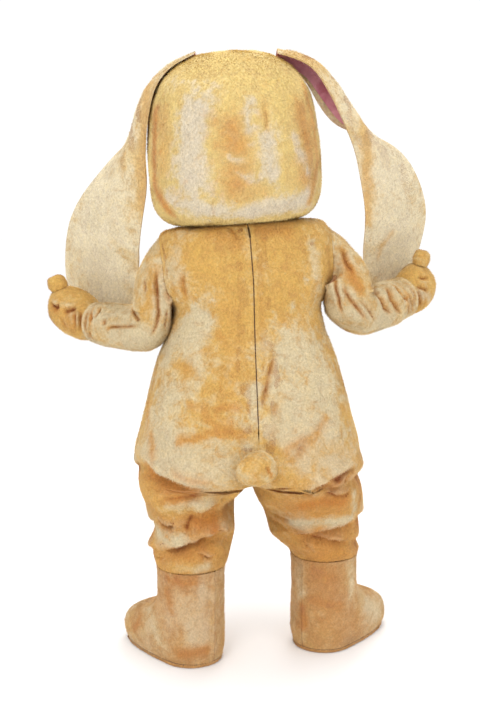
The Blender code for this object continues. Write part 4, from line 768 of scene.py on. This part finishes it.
# Sleeves: one tube of the same plush on each side, set into the armhole, and held back in folds at the
# elbow and in close gathers at the wrist by the mitt.
SLEEVES = {"sleeve_left": (0.62, 0.46, 0.26), "sleeve_right": (0.62, 0.44, 0.25)}
SLEEVE_FOLDS = [
    ("back", "trough", 6, 13, [(240, -95), (250, -125), (258, -175), (266, -224), (276, -260), (281, -295)]),
    ("back", "trough", 10, 15, [(280, -65), (290, -95), (299, -130), (312, -155), (320, -168)]),
    ("back", "trough", 7, 11, [(286, -178), (291, -208), (304, -229), (325, -255), (351, -285), (361, -307)]),
    ("back", "trough", 6, 7, [(331, -229), (364, -265), (393, -299), (405, -316)]),
    ("back", "trough", 9, 17, [(370, -189), (398, -218), (415, -245), (424, -269), (457, -291)]),
    ("back", "trough", 9, 16, [(431, -199), (443, -220), (450, -243), (467, -270), (486, -295)]),
    ("back", "trough", 6, 12, [(442, -193), (467, -204), (488, -230), (511, -261), (518, -281), (516, -303)]),
    ("back", "trough", 5, 10, [(495, -214), (514, -238), (527, -268), (532, -298)]),
    ("back", "trough", 5, 8, [(516, -208), (533, -229), (540, -256)]),
    ("back", "trough", 6, 12, [(-268, -120), (-265, -166), (-261, -215), (-246, -257)]),
    (
        *("back", "trough", 6, 13),
        [(-291, -118), (-289, -180), (-286, -234), (-282, -270), (-290, -317), (-308, -354)],
    ),
    ("back", "trough", 6, 8, [(-258, -255), (-254, -290), (-262, -335)]),
    ("back", "trough", 6, 8, [(-330, -170), (-326, -215)]),
    ("back", "trough", 6, 12, [(-375, -262), (-370, -272), (-353, -296), (-344, -303)]),
    ("back", "trough", 6, 10, [(-471, -342), (-440, -330), (-377, -321), (-344, -316)]),
    ("back", "trough", 9, 10, [(-469, -305), (-467, -331)]),
    ("back", "ridge", 12, 6, [(-435, -285), (-400, -290), (-370, -300)]),
    ("back", "trough", 6, 12, [(-520, -280), (-532, -306), (-535, -340), (-530, -372)]),
    ("back", "trough", 6, 10, [(-481, -265), (-488, -287), (-505, -307)]),
    ("back", "trough", 6, 10, [(-503, -265), (-512, -290), (-515, -330)]),
    ("back", "trough", 6, 10, [(-518, -350), (-519, -374), (-507, -383)]),
    ("front", "trough", 10, 10, [(-300, -150), (-295, -230), (-320, -300)]),
    ("front", "trough", 9, 10, [(300, -140), (300, -210), (330, -270)]),
    ("front", "trough", 8, 10, [(-400, -290), (-440, -320), (-450, -355)]),
    ("front", "trough", 8, 10, [(400, -220), (440, -260), (450, -300)]),
    ("front", "trough", 6, 8, [(-500, -275), (-512, -310), (-508, -350)]),
    ("front", "trough", 6, 8, [(480, -205), (498, -240), (500, -285)]),
]
SLEEVE_STROKES = [
    ("back", 30, 0.80, 0.00, [(320, -270), (380, -300), (440, -320)]),
    ("back", 28, 0.80, 0.00, [(-440, -350), (-380, -350), (-330, -360)]),
    ("back", 30, 0.15, 0.20, [(-300, -150), (-315, -260)]),
    ("back", 22, 0.10, 0.75, [(300, -130), (335, -195)]),
    ("back", 26, 0.75, 0.00, [(-460, -290), (-400, -300)]),
    ("back", 18, 0.85, 0.00, [(-252, -240), (-250, -320)]),
    ("back", 16, 0.80, 0.00, [(262, -230), (268, -280)]),
]
sleeve_tree = tree_of(SLEEVES)
for sleeve_name, (width, length, area) in SLEEVES.items():
    sleeve = cut_piece(sleeve_name, sleeve_name + "_cloth", 2)
    sleeve.data.materials.append(TAN)
    tailor(sleeve, sleeve_tree, SLEEVE_FOLDS, SLEEVE_STROKES, base=0.58)
    draw_in(sleeve, body_tree, 0.018, 0.001)
    tufts = pile(sleeve, sleeve_name + "_pile", 12.0, 0.0080, seed=20 + len(sleeve_name))
    dress(sleeve_name, "tan_plush", sleeve, tufts)

# Mitts: a plain bag of plush over each hand, sewn round its edge and turned. It is drawn over the sleeve's
# end, where it creases, and its thumb is stuffed and sewn on.
MITTS = {"mitt_left": (0.46, 0.22, 0.096), "mitt_right": (0.44, 0.18, 0.069)}
MITT_FOLDS = [
    ("back", "trough", 6, 11, [(-551, -286), (-553, -320), (-552, -362)]),
    ("back", "trough", 6, 11, [(-572, -291), (-574, -323), (-575, -358)]),
    ("back", "trough", 9, 16, [(-616, -299), (-590, -289), (-566, -283)]),
    ("back", "roll", 9, 14, [(-665, -264), (-643, -276), (-623, -270)]),
    ("back", "ridge", 12, 7, [(-628, -262), (-606, -278), (-585, -272)]),
    ("back", "trough", 7, 8, [(-628, -310), (-618, -335), (-600, -355)]),
    ("back", "trough", 6, 10, [(546, -220), (554, -245), (556, -290)]),
    ("back", "trough", 7, 13, [(548, -181), (567, -186), (589, -187)]),
    ("back", "trough", 6, 10, [(540, -209), (576, -224), (588, -235)]),
    ("back", "ridge", 12, 6, [(560, -250), (580, -260), (590, -270)]),
    ("back", "trough", 6, 7, [(572, -245), (574, -285)]),
]
MITT_STROKES = [
    ("back", 30, 0.15, 0.40, [(-600, -320), (-585, -350)]),
    ("back", 20, 0.60, 0.20, [(560, -240), (590, -250)]),
]
mitt_tree = tree_of(MITTS)
for mitt_name, (width, length, area) in MITTS.items():
    mitt = cut_piece(mitt_name, mitt_name + "_cloth", 2)
    mitt.data.materials.append(TAN)
    tailor(mitt, mitt_tree, MITT_FOLDS, MITT_STROKES, base=0.28)
    tufts = pile(mitt, mitt_name + "_pile", 13.0, 0.0070, seed=40 + len(mitt_name))
    dress(mitt_name, "tan_plush", mitt, tufts)


# Stuffed pieces: the thumbs and the tail are small bags of plush, filled with polyester fibre and sewn on.
# Each is blown up as cloth under pressure, held where it is sewn on, and drawn in to what carries it there.
SEWN = 0.006  # how near to its carrier a bag is held


def stuffed(node_name, name, carrier, voxel, pressure, cap):
    """A solid's shape as a stuffed bag: its cloth is blown out a little and held where it is sewn on."""
    bag = cut_piece(node_name, name, 1, sharp=80.0)
    soft = bag.modifiers.new("knit", "REMESH")
    soft.mode, soft.voxel_size = "VOXEL", voxel
    bpy.ops.object.modifier_apply(modifier=soft.name)
    carrier_tree = tree_of([carrier])
    start = points_of(bag.data)
    held = [k for k, p in enumerate(start) if carrier_tree.find_nearest(Vector(p))[3] < SEWN]
    bag.vertex_groups.new(name="sewn").add(held, 1.0, "REPLACE")
    fill = bag.modifiers.new("fill", "CLOTH")
    fill.settings.use_pressure = True
    fill.settings.uniform_pressure_force = pressure
    fill.settings.vertex_group_mass = "sewn"
    fill.settings.effector_weights.gravity = 0.0
    for step in range(1, 21):
        bpy.context.scene.frame_set(step)
    blown = points_of(bag.evaluated_get(bpy.context.evaluated_depsgraph_get()).data)
    bag.modifiers.remove(fill)
    bpy.context.scene.frame_set(1)
    move = blown - start
    far = np.linalg.norm(move, axis=1)
    start = start + move * (np.minimum(far, cap) / np.maximum(far, 1e-9))[:, None]
    move_to(bag.data, start)
    finer = bag.modifiers.new("smooth", "SUBSURF")
    finer.levels = finer.render_levels = 1
    bpy.ops.object.modifier_apply(modifier=finer.name)
    bag.data.shade_smooth()
    put(bag.data, "rim", np.zeros(len(bag.data.vertices)))
    put(bag.data, "open", [openness(v.co, v.normal) for v in bag.data.vertices])
    return bag


STUFFED = {  # what carries it, the remesh size, its folds, its brush strokes and how brushed up it is
    "thumb_left": ("mitt_left", 0.005, [], [("back", 30, 0.15, 0.35, [(-600, -270), (-590, -290)])], 0.10),
    "thumb_right": ("mitt_right", 0.005, [], [], 0.28),
    "tail": (
        "body_back_left",
        0.0075,
        [
            ("back", "trough", 8, 5, [(0, -700), (20, -735), (50, -745)]),
            ("back", "trough", 6, 6, [(45, -690), (55, -715)]),
        ],
        [
            ("back", 30, 0.25, 0.10, [(-10, -700), (40, -690)]),
            ("back", 16, 0.70, 0.05, [(-10, -760), (40, -770)]),
            ("back", 6, 0.20, 0.80, [(52, -700), (62, -722)]),
        ],
        0.52,
    ),
}
for stuffed_name, (carrier, voxel, folds, strokes, base) in STUFFED.items():
    bag = stuffed(stuffed_name, stuffed_name + "_bag", carrier, voxel, 3.0, 0.004)
    bag.data.materials.append(TAN)
    tailor(bag, tree_of([stuffed_name]), folds, strokes, base=base)
    draw_in(bag, tree_of([carrier]), 0.014, 0.0004)
    tufts = pile(bag, stuffed_name + "_pile", 16.0, 0.0058, seed=50 + len(stuffed_name))
    dress(stuffed_name, "tan_plush", bag, tufts)

# Boots: each has an inner and an outer half of plush on thin foam, sewn together down the back and over the
# toes, and sewn round a flat sole of dense felt.
BOOT_FOLDS = [
    ("back", "trough", 10, 5, [(-235, -1125), (-200, -1145), (-160, -1135)]),
    ("back", "trough", 12, 5, [(-260, -1235), (-230, -1262), (-200, -1285)]),
    ("back", "ridge", 10, 4, [(-240, -1180), (-200, -1195), (-150, -1190)]),
    ("back", "trough", 12, 6, [(200, -1265), (240, -1285), (275, -1280)]),
    ("back", "trough", 10, 5, [(260, -1120), (290, -1150), (320, -1160)]),
    ("back", "trough", 6, 3, [(-360, -1360), (-260, -1385), (-140, -1380)]),
    ("front", "trough", 12, 7, [(-280, -1230), (-230, -1255), (-180, -1250)]),
    ("front", "trough", 12, 7, [(230, -1225), (280, -1250), (330, -1245)]),
]
BOOT_STROKES = [
    ("back", 170, 0.42, 0.50, [(-250, -1150), (-230, -1330)]),
    ("back", 170, 0.38, 0.60, [(230, -1150), (330, -1330)]),
    ("front", 170, 0.40, 0.50, [(-250, -1150), (-230, -1330)]),
    ("front", 170, 0.40, 0.50, [(230, -1150), (330, -1330)]),
    # Painted shade in the warm colour along the left boot's top, under the trouser hem.
    ("back", 20, 0.05, 1.20, [(-258, -1106), (-157, -1108)]),
    ("back", 12, 0.15, 0.95, [(-265, -1147), (-245, -1215)]),
    ("back", 50, 0.65, 0.20, [(-200, -1200), (-190, -1300)]),
    ("back", 22, 0.65, 0.30, [(-150, -1130), (-140, -1300)]),
    ("back", 14, 0.10, 1.00, [(-361, -1280), (-380, -1330)]),
    ("back", 35, 0.70, 0.00, [(-330, -1260), (-290, -1320)]),
    ("back", 20, 0.10, 1.00, [(-220, -1350), (-140, -1340)]),
    # Painted shade in the warm colour along the right boot's top, under the trouser hem.
    ("back", 26, 0.05, 0.90, [(201, -1116), (259, -1140)]),
    ("back", 18, 0.10, 0.90, [(202, -1218), (293, -1235)]),
    ("back", 30, 0.25, 0.50, [(210, -1300), (300, -1340)]),
    ("back", 22, 0.60, 0.05, [(164, -1130), (164, -1230)]),
    ("back", 16, 0.10, 1.10, [(168, -1250), (178, -1310)]),
    ("back", 45, 0.60, 0.00, [(380, -1250), (440, -1330)]),
    ("back", 24, 0.60, 0.00, [(330, -1120), (335, -1200)]),
    ("front", 60, 0.60, 0.05, [(-380, -1300), (-300, -1320)]),
    ("front", 60, 0.60, 0.05, [(360, -1300), (460, -1320)]),
]
# The boots' plush: the tan plush made darker and browner.
BOOT_PLUSH = plush("darker_browner_tan_acrylic_plush", gold="#D3AC6E", pale="#E0CDA8", warm="#C68A50", shade="#8E5834")
BOOT_HALVES = ["boot_left_inner", "boot_left_outer", "boot_right_inner", "boot_right_outer"]
boot_tree = tree_of(BOOT_HALVES)
for k, boot_name in enumerate(BOOT_HALVES):
    boot = cut_piece(boot_name, boot_name + "_shell", 2)
    boot.data.materials.append(BOOT_PLUSH)
    tailor(boot, boot_tree, BOOT_FOLDS, BOOT_STROKES, base=0.25)
    tufts = pile(boot, boot_name + "_pile", 9.0, 0.0075, seed=60 + k)
    dress(boot_name, "tan_plush", boot, tufts)

# Soles: needled wool felt, 12 mm thick, cut square at the edge, with its fibres matted in every direction.
# A narrow welt of plush is glued round the edge, so that the pile reaches down to the floor.
FELT, shader, place = finish_of("needled_brown_felt", 0.95, Sheen_Weight=0.2, Sheen_Roughness=0.6)
matted = {"Vector": place, "Scale": 1 / 0.0022, "Detail": 5.0, "Distortion": 2.0}
fibres = add_node(FELT, "TexNoise", matted).outputs["Fac"]
worn = add_node(FELT, "TexNoise", {"Vector": place, "Scale": 1 / 0.05, "Detail": 3.0}).outputs["Fac"]
mixed = add_node(FELT, "Math", {0: fibres, 1: 0.6, 2: worn}, operation="MULTIPLY_ADD")
shades = add_node(FELT, "MapRange", {"Value": mixed.outputs[0], "From Min": 0.5, "From Max": 1.1})
tone = add_node(FELT, "Mix", {0: shades.outputs[0], 6: "#5A4028", 7: "#86643F"}, data_type="RGBA")
bump = add_node(FELT, "Bump", {"Height": fibres, "Strength": 0.5, "Distance": 0.0008})
feed(FELT, shader, {"Base Color": tone.outputs[2], "Normal": bump.outputs[0]})


def blunt(piece, width):
    """Takes the sharpness off a piece's edges."""
    edge = piece.modifiers.new("edge", "BEVEL")
    edge.width, edge.segments, edge.limit_method = width, 2, "ANGLE"
    bpy.ops.object.modifier_apply(modifier=edge.name)


for sole_name in ("boot_left_sole", "boot_right_sole"):
    sole = cut_piece(sole_name, sole_name + "_felt", 0)
    blunt(sole, 0.0015)
    bpy.ops.object.shade_smooth_by_angle(angle=math.radians(40))
    sole.data.materials.append(FELT)
    even = {"rim": 0.0, "open": 1.0, "nap": 0.3, "warm": 0.45, "painted_shade": 0.0, "away": 1.0}
    for key, column in even.items():
        put(sole.data, key, np.full(len(sole.data.vertices), column))
    wide = {"lean": 66.0, "width": 0.0022, "upright": True, "cloth": BOOT_PLUSH}
    welt = pile(sole, sole_name + "_welt", 60.0, 0.0085, seed=70, **wide)
    dress(sole_name, "sole_felt", sole)
    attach(welt, "costume")

# Zip: two woven polyester tapes sewn under the panels' edges, with a row of moulded teeth on each that
# mesh under the slider. The slider and its pull are zinc with a dark antique brass plating.
# The tape's fine diagonal ribs are drawn a little coarser than the real weave, so that they show.
TAPE, shader, place = finish_of("woven_polyester_tape", 0.75)
weave = add_node(
    TAPE, "TexWave", {"Vector": place, "Scale": 1 / 0.0012, "Distortion": 0.5}, bands_direction="DIAGONAL"
)
tone = add_node(TAPE, "Mix", {0: weave.outputs["Fac"], 6: "#5A3D28", 7: "#7D5A3C"}, data_type="RGBA")
bump = add_node(TAPE, "Bump", {"Height": weave.outputs["Fac"], "Strength": 0.4, "Distance": 0.0003})
feed(TAPE, shader, {"Base Color": tone.outputs[2], "Normal": bump.outputs[0]})
for tape_name in ("zip_tape_left", "zip_tape_right"):
    tape = cut_piece(tape_name, tape_name + "_cloth", 1)
    tape.data.materials.append(TAPE)
    dress(tape_name, "brown_zip", tape)

# Plated, then tumbled: dark in the hollows, and rubbed to a warmer, smoother metal in small patches.
BRASS, shader, place = finish_of("antique_brass_plating", 0.38, Metallic=1.0)
rubbed = add_node(BRASS, "TexNoise", {"Vector": place, "Scale": 1 / 0.004, "Detail": 4.0})
shades = add_node(BRASS, "MapRange", {"Value": rubbed.outputs["Fac"], "From Min": 0.42, "From Max": 0.68})
tone = add_node(BRASS, "Mix", {0: shades.outputs[0], 6: "#3A2A1C", 7: "#7A5E3C"}, data_type="RGBA")
matt = add_node(BRASS, "MapRange", {"Value": rubbed.outputs["Fac"], "To Min": 0.55, "To Max": 0.28})
feed(BRASS, shader, {"Base Color": tone.outputs[2], "Roughness": matt.outputs[0]})

# Acetal, moulded on to the tape's cord: a dull waxy shine, and a brown that is uneven from tooth to tooth.
TEETH, shader, place = finish_of("moulded_brown_acetal", 0.42)
dull = add_node(TEETH, "TexNoise", {"Vector": place, "Scale": 1 / 0.006, "Detail": 2.0})
tone = add_node(TEETH, "Mix", {0: dull.outputs["Fac"], 6: "#3A2518", 7: "#6E4C32"}, data_type="RGBA")
feed(TEETH, shader, {"Base Color": tone.outputs[2]})
TOOTH_PITCH = 0.0020
chain = cut_piece("zip_chain", "zip_teeth", 0)
line = middle_line("zip_chain", TOOTH_PITCH / 2)
along = np.gradient(line, axis=0)
along /= np.linalg.norm(along, axis=1)[:, None]
behind = np.array([0.03, -1.0, 0.05])  # straight out of the wearer's back
outward = behind - along * (along @ behind)[:, None]
outward /= np.linalg.norm(outward, axis=1)[:, None]
across = np.cross(along, outward)

# A tooth's three sections, from the tape to past the middle: the place across the zip, half the width along
# it, and the inner and the outer face. Its head is wider than its neck.
TOOTH = [
    (-0.0026, 0.00045, -0.0010, 0.0009),
    (0.0004, 0.00075, -0.0009, 0.0010),
    (0.0009, 0.00045, -0.0006, 0.0007),
]
corners, faces = [], []
for k in range(len(line)):
    first, hand = len(corners), (1 if k % 2 else -1)
    for a, half, low, high in TOOTH:
        for b, c in ((-half, low), (half, low), (half, high), (-half, high)):
            corners.append(line[k] + across[k] * a * hand + along[k] * b + outward[k] * c)
    sides = [[r + s, r + (s + 1) % 4, r + 4 + (s + 1) % 4, r + 4 + s] for r in (0, 4) for s in range(4)]
    for face in ([3, 2, 1, 0], *sides, [8, 9, 10, 11]):
        faces.append([first + corner for corner in face[::hand]])
teeth_mesh = bpy.data.meshes.new("zip_teeth")
teeth_mesh.from_pydata([tuple(c) for c in corners], [], faces)
chain.data = teeth_mesh
chain.data.materials.append(TEETH)
dress("zip_chain", "antique_brass", chain)
for metal_name, body in (("zip_slider", "costume"), ("zip_pull", "pull_tab")):
    metal = cut_piece(metal_name, metal_name + "_plated", 0)
    blunt(metal, 0.00025)
    metal.data.materials.append(BRASS)
    dress(metal_name, "antique_brass", metal, body=body)

# Head: a shell of upholstery foam in two halves, a back and a face, covered with the same plush. Two short
# darts at the nape draw the cover in to the neck.
# The head's plush is the tan plush painted yellower and lighter, for the light that falls on it from above: a
# painted highlight over the whole head.
TAN_PAINTED_LIT_FROM_ABOVE = {"gold": "#EBD28A", "pale": "#E5D8BE", "warm": "#D69C58", "shade": "#9C5C3C"}
HEAD_PLUSH_PAINTED_LIT = plush("tan_acrylic_plush_painted_lit_from_above", **TAN_PAINTED_LIT_FROM_ABOVE)
HEAD_FOLDS = [
    ("back", "trough", 3.5, 5, [(-110, 84), (-112, 46), (-106, 10)]),
    ("back", "trough", 3.5, 4.5, [(128, 75), (112, 55), (96, 40)]),
    ("back", "trough", 20, 4, [(-50, 480), (40, 478)]),
    ("back", "trough", 8, 7, [(37, 345), (46, 300), (46, 260)]),
    ("back", "trough", 12, 4, [(-125, 330), (-118, 270)]),
    ("back", "trough", 7, 3, [(140, 250), (175, 262)]),
    ("back", "trough", 7, 3, [(130, 220), (170, 232)]),
    ("front", "trough", 26, 6, [(-140, 240), (-120, 190)]),
    ("front", "trough", 26, 6, [(100, 250), (80, 190)]),
]
HEAD_STROKES = [
    ("back", 60, 0.95, 0.00, [(-165, 320), (-176, 270), (-180, 220), (-168, 140)]),
    ("back", 30, 0.05, 0.45, [(-262, 310), (-256, 240), (-262, 160)]),
    ("back", 50, 0.05, 0.85, [(-50, 270), (-43, 211), (-38, 141), (-35, 95)]),
    ("back", 14, 0.70, 0.10, [(-62, 190), (-30, 180)]),
    ("back", 12, 0.75, 0.10, [(-20, 135), (10, 128)]),
    ("back", 16, 0.85, 0.00, [(-3, 352), (-12, 268)]),
    ("back", 10, 0.10, 0.30, [(37, 345), (46, 260)]),
    ("back", 34, 0.75, 0.00, [(45, 240), (58, 150)]),
    ("back", 16, 0.20, 0.15, [(93, 190), (102, 155)]),
    ("back", 40, 0.12, 0.85, [(150, 330), (172, 220), (165, 130)]),
    ("back", 18, 0.70, 0.10, [(128, 250), (150, 200)]),
    ("back", 12, 0.75, 0.10, [(160, 180), (172, 150)]),
    ("back", 12, 0.20, 0.25, [(114, 127), (133, 98)]),
    ("back", 34, 0.85, 0.00, [(-245, 80), (-149, 40), (-32, 30), (85, 50), (177, 80)]),
    ("back", 16, 0.10, 0.45, [(-6, 90), (30, 98)]),
    ("back", 14, 0.40, 0.20, [(-232, 98), (-196, 75)]),
    # Painted shade in the warm colour along the head's left edge, under the left ear.
    ("back", 20, 0.10, 1.30, [(-284, 332), (-292, 107), (-245, 33)]),
    # Painted shade in the warm colour along the head's right edge.
    ("back", 16, 0.15, 0.90, [(160, 409), (186, 319), (203, 187), (180, 68)]),
    ("front", 60, 0.70, 0.00, [(-180, 200), (-150, 110)]),
    ("front", 50, 0.70, 0.00, [(150, 220), (140, 120)]),
    ("front", 40, 0.75, 0.00, [(-245, 80), (-32, 30), (177, 80)]),
    ("left", 60, 0.65, 0.00, [(60, 240), (40, 110)]),
    ("right", 60, 0.65, 0.00, [(60, 240), (40, 110)]),
]
HALVES = ["head_back", "head_face"]
head_tree = tree_of(HALVES)
for k, half_name in enumerate(HALVES):
    half = cut_piece(half_name, half_name + "_cover", 2)
    half.data.materials.append(HEAD_PLUSH_PAINTED_LIT)
    tailor(half, head_tree, HEAD_FOLDS, HEAD_STROKES, base=0.10)
    tufts = pile(half, half_name + "_pile", (11.5, 7.5)[k], 0.0085, seed=80 + k)
    dress(half_name, "tan_plush", half, tufts)

# Ears: long lop ears of plush with a lining of polyester satin, sewn down along its edges. The roots are
# folded and sewn to the crown, so that the ears curl lengthwise and hang over the forearms.
EAR_PLUSH = plush("cream_tan_acrylic_plush", gold="#EBCF90", pale="#F1E4C4", warm="#DBA866", shade="#A8703F")
EAR_STROKES = [
    ("back", 110, 1.00, 0.00, [(-500, 150), (-520, 0), (-500, -150)]),
    ("back", 110, 0.95, 0.00, [(460, 200), (490, 50), (490, -120)]),
    ("back", 55, 0.80, 0.00, [(-430, 350), (-460, 250)]),
    ("back", 45, 0.75, 0.00, [(330, 400), (400, 330), (430, 250)]),
    ("back", 28, 0.05, 0.50, [(-315, 420), (-330, 200), (-335, 20)]),
    ("back", 22, 0.10, 0.50, [(365, 220), (368, 120), (372, 0)]),
    ("back", 50, 0.02, 0.15, [(-250, 500), (-310, 470), (-350, 420)]),
    ("back", 40, 0.02, 0.20, [(130, 500), (230, 480), (290, 430)]),
    ("back", 20, 0.05, 0.35, [(300, 420), (345, 330), (360, 240)]),
    ("back", 7, 0.35, 0.45, [(-402, 260), (-392, 225), (-395, 200)]),
    ("back", 6, 0.35, 0.40, [(-425, 225), (-415, 195)]),
    ("back", 8, 0.35, 0.45, [(372, 352), (398, 318), (412, 300)]),
    ("back", 6, 0.35, 0.40, [(420, 290), (438, 268)]),
    ("back", 10, 0.50, 0.35, [(470, -40), (440, -80), (425, -120)]),
]
EAR_FOLDS = [
    ("back", "ridge", 18, 5, [(-420, 150), (-430, 0), (-420, -120)]),
    ("back", "trough", 14, 5, [(-360, -100), (-380, -180)]),
    ("back", "trough", 12, 4, [(420, -110), (440, -60), (480, -20)]),
]
EARS = {"ear_left": (0.31, 0.86, 0.25), "ear_right": (0.29, 0.82, 0.20)}
EAR_DROP = 0.010  # how far an ear's end hangs down on to the sleeve
HANGING_END = 0.090  # and how much of the ear hangs
ear_tree = tree_of(EARS)
for ear_name, (width, length, area) in EARS.items():
    ear = cut_piece(ear_name, ear_name + "_cloth", 2)
    ear.data.materials.append(EAR_PLUSH)
    tailor(ear, ear_tree, EAR_FOLDS, EAR_STROKES, base=0.55)
    points = values(ear.data.vertices, "co", 3)
    above_end = points[:, 2] - points[:, 2].min()
    points[:, 2] -= EAR_DROP * np.clip((HANGING_END - above_end) / HANGING_END, 0, 1)
    move_to(ear.data, points)
    tufts = pile(ear, ear_name + "_pile", 8.5, 0.0085, seed=90 + len(ear_name))
    dress(ear_name, "tan_plush", ear, tufts)

# Satin: long floats of bright thread give a broad soft sheen across the cloth. The threads are drawn
# coarser than the real ones, so that they show.
SATIN, shader, place = finish_of(
    "polyester_satin", 0.34, Anisotropic=0.5, Sheen_Weight=0.35, Sheen_Roughness=0.3, Sheen_Tint="#FFB9C4"
)
soft = {"Vector": place, "Scale": 1 / 0.045, "Detail": 2.0, "Distortion": 0.8}
drape = add_node(SATIN, "TexNoise", soft).outputs["Fac"]
lines = {"Vector": place, "Scale": 1 / 0.0016, "Distortion": 1.0}
threads = add_node(SATIN, "TexWave", lines, bands_direction="X").outputs["Fac"]
# The colour follows the drape's broad waves, which also raise the bump: lighter pink on their crests and
# darker in their dips, a painted sheen and painted shade.
shades = add_node(SATIN, "MapRange", {"Value": drape, "From Min": 0.3, "From Max": 0.7})
tone = add_node(SATIN, "Mix", {0: shades.outputs[0], 6: "#B9687A", 7: "#DC9DAB"}, data_type="RGBA")
height = add_node(SATIN, "Math", {0: threads, 1: 0.12, 2: drape}, operation="MULTIPLY_ADD")
bump = add_node(SATIN, "Bump", {"Height": height.outputs[0], "Strength": 0.35, "Distance": 0.004})
feed(SATIN, shader, {"Base Color": tone.outputs[2], "Normal": bump.outputs[0]})
LININGS = {"ear_left_lining": (0.26, 0.82, 0.187), "ear_right_lining": (0.24, 0.78, 0.14)}
for lining_name, (width, length, area) in LININGS.items():
    lining = cut_piece(lining_name, lining_name + "_satin", 2)
    points, normals, _, _, _, seen = arrays(lining)
    puckers = ripple(points * np.array([1.0, 1.0, 0.4]), 0.05, 31) * 0.0012
    moved = points + normals * (puckers * np.clip(seen * 4, 0, 1))[:, None]
    move_to(lining.data, moved)
    lining.data.materials.append(SATIN)
    dress(lining_name, "pink_satin", lining)

# Face: a stuffed muzzle of cream plush with a felt nose, and two domed black eyes with a plastic gloss, all
# fixed through the cover to the foam.
CREAM = plush("cream_acrylic_plush", gold="#E6D2AC", pale="#EFE3CB", warm="#DDBF8E", shade="#A98354")
muzzle = stuffed("muzzle", "muzzle_bag", "head_face", 0.0075, 3.0, 0.005)
muzzle.data.materials.append(CREAM)
tailor(muzzle, tree_of(["muzzle"]), [("front", "trough", 10, 9, [(-45, 130), (-45, 85)])])
tufts = pile(muzzle, "muzzle_pile", 12.0, 0.0065, seed=101)
dress("muzzle", "cream_plush", muzzle, tufts)

# Pressed felt: short matted fibres that lie every way, with next to no shine.
PINK, shader, place = finish_of("pressed_pink_felt", 0.9, Sheen_Weight=0.25, Sheen_Roughness=0.5)
fibres = add_node(PINK, "TexNoise", {"Vector": place, "Scale": 1 / 0.0018, "Detail": 5.0, "Distortion": 1.5})
tone = add_node(PINK, "Mix", {0: fibres.outputs["Fac"], 6: "#A85A60", 7: "#C9858A"}, data_type="RGBA")
bump = add_node(PINK, "Bump", {"Height": fibres.outputs["Fac"], "Strength": 0.5, "Distance": 0.0006})
feed(PINK, shader, {"Base Color": tone.outputs[2], "Normal": bump.outputs[0]})
nose = cut_piece("nose", "nose_pad", 2)
nose.data.materials.append(PINK)
dress("nose", "pink_felt", nose)

# ABS, moulded in a polished tool: a sharp gloss, under the faint haze of handling.
POLISHED = {"Coat_Weight": 0.5, "Coat_Roughness": 0.05}
GLOSS, shader, place = finish_of("moulded_black_abs", 0.12, Base_Color="#0B0908", **POLISHED)
haze = add_node(GLOSS, "TexNoise", {"Vector": place, "Scale": 1 / 0.003, "Detail": 3.0})
matt = add_node(GLOSS, "MapRange", {"Value": haze.outputs["Fac"], "To Min": 0.07, "To Max": 0.17})
feed(GLOSS, shader, {"Roughness": matt.outputs[0]})
for eye_name in ("eye_left", "eye_right"):
    eye = cut_piece(eye_name, eye_name + "_dome", 2)
    eye.data.materials.append(GLOSS)
    dress(eye_name, "black_plastic", eye)
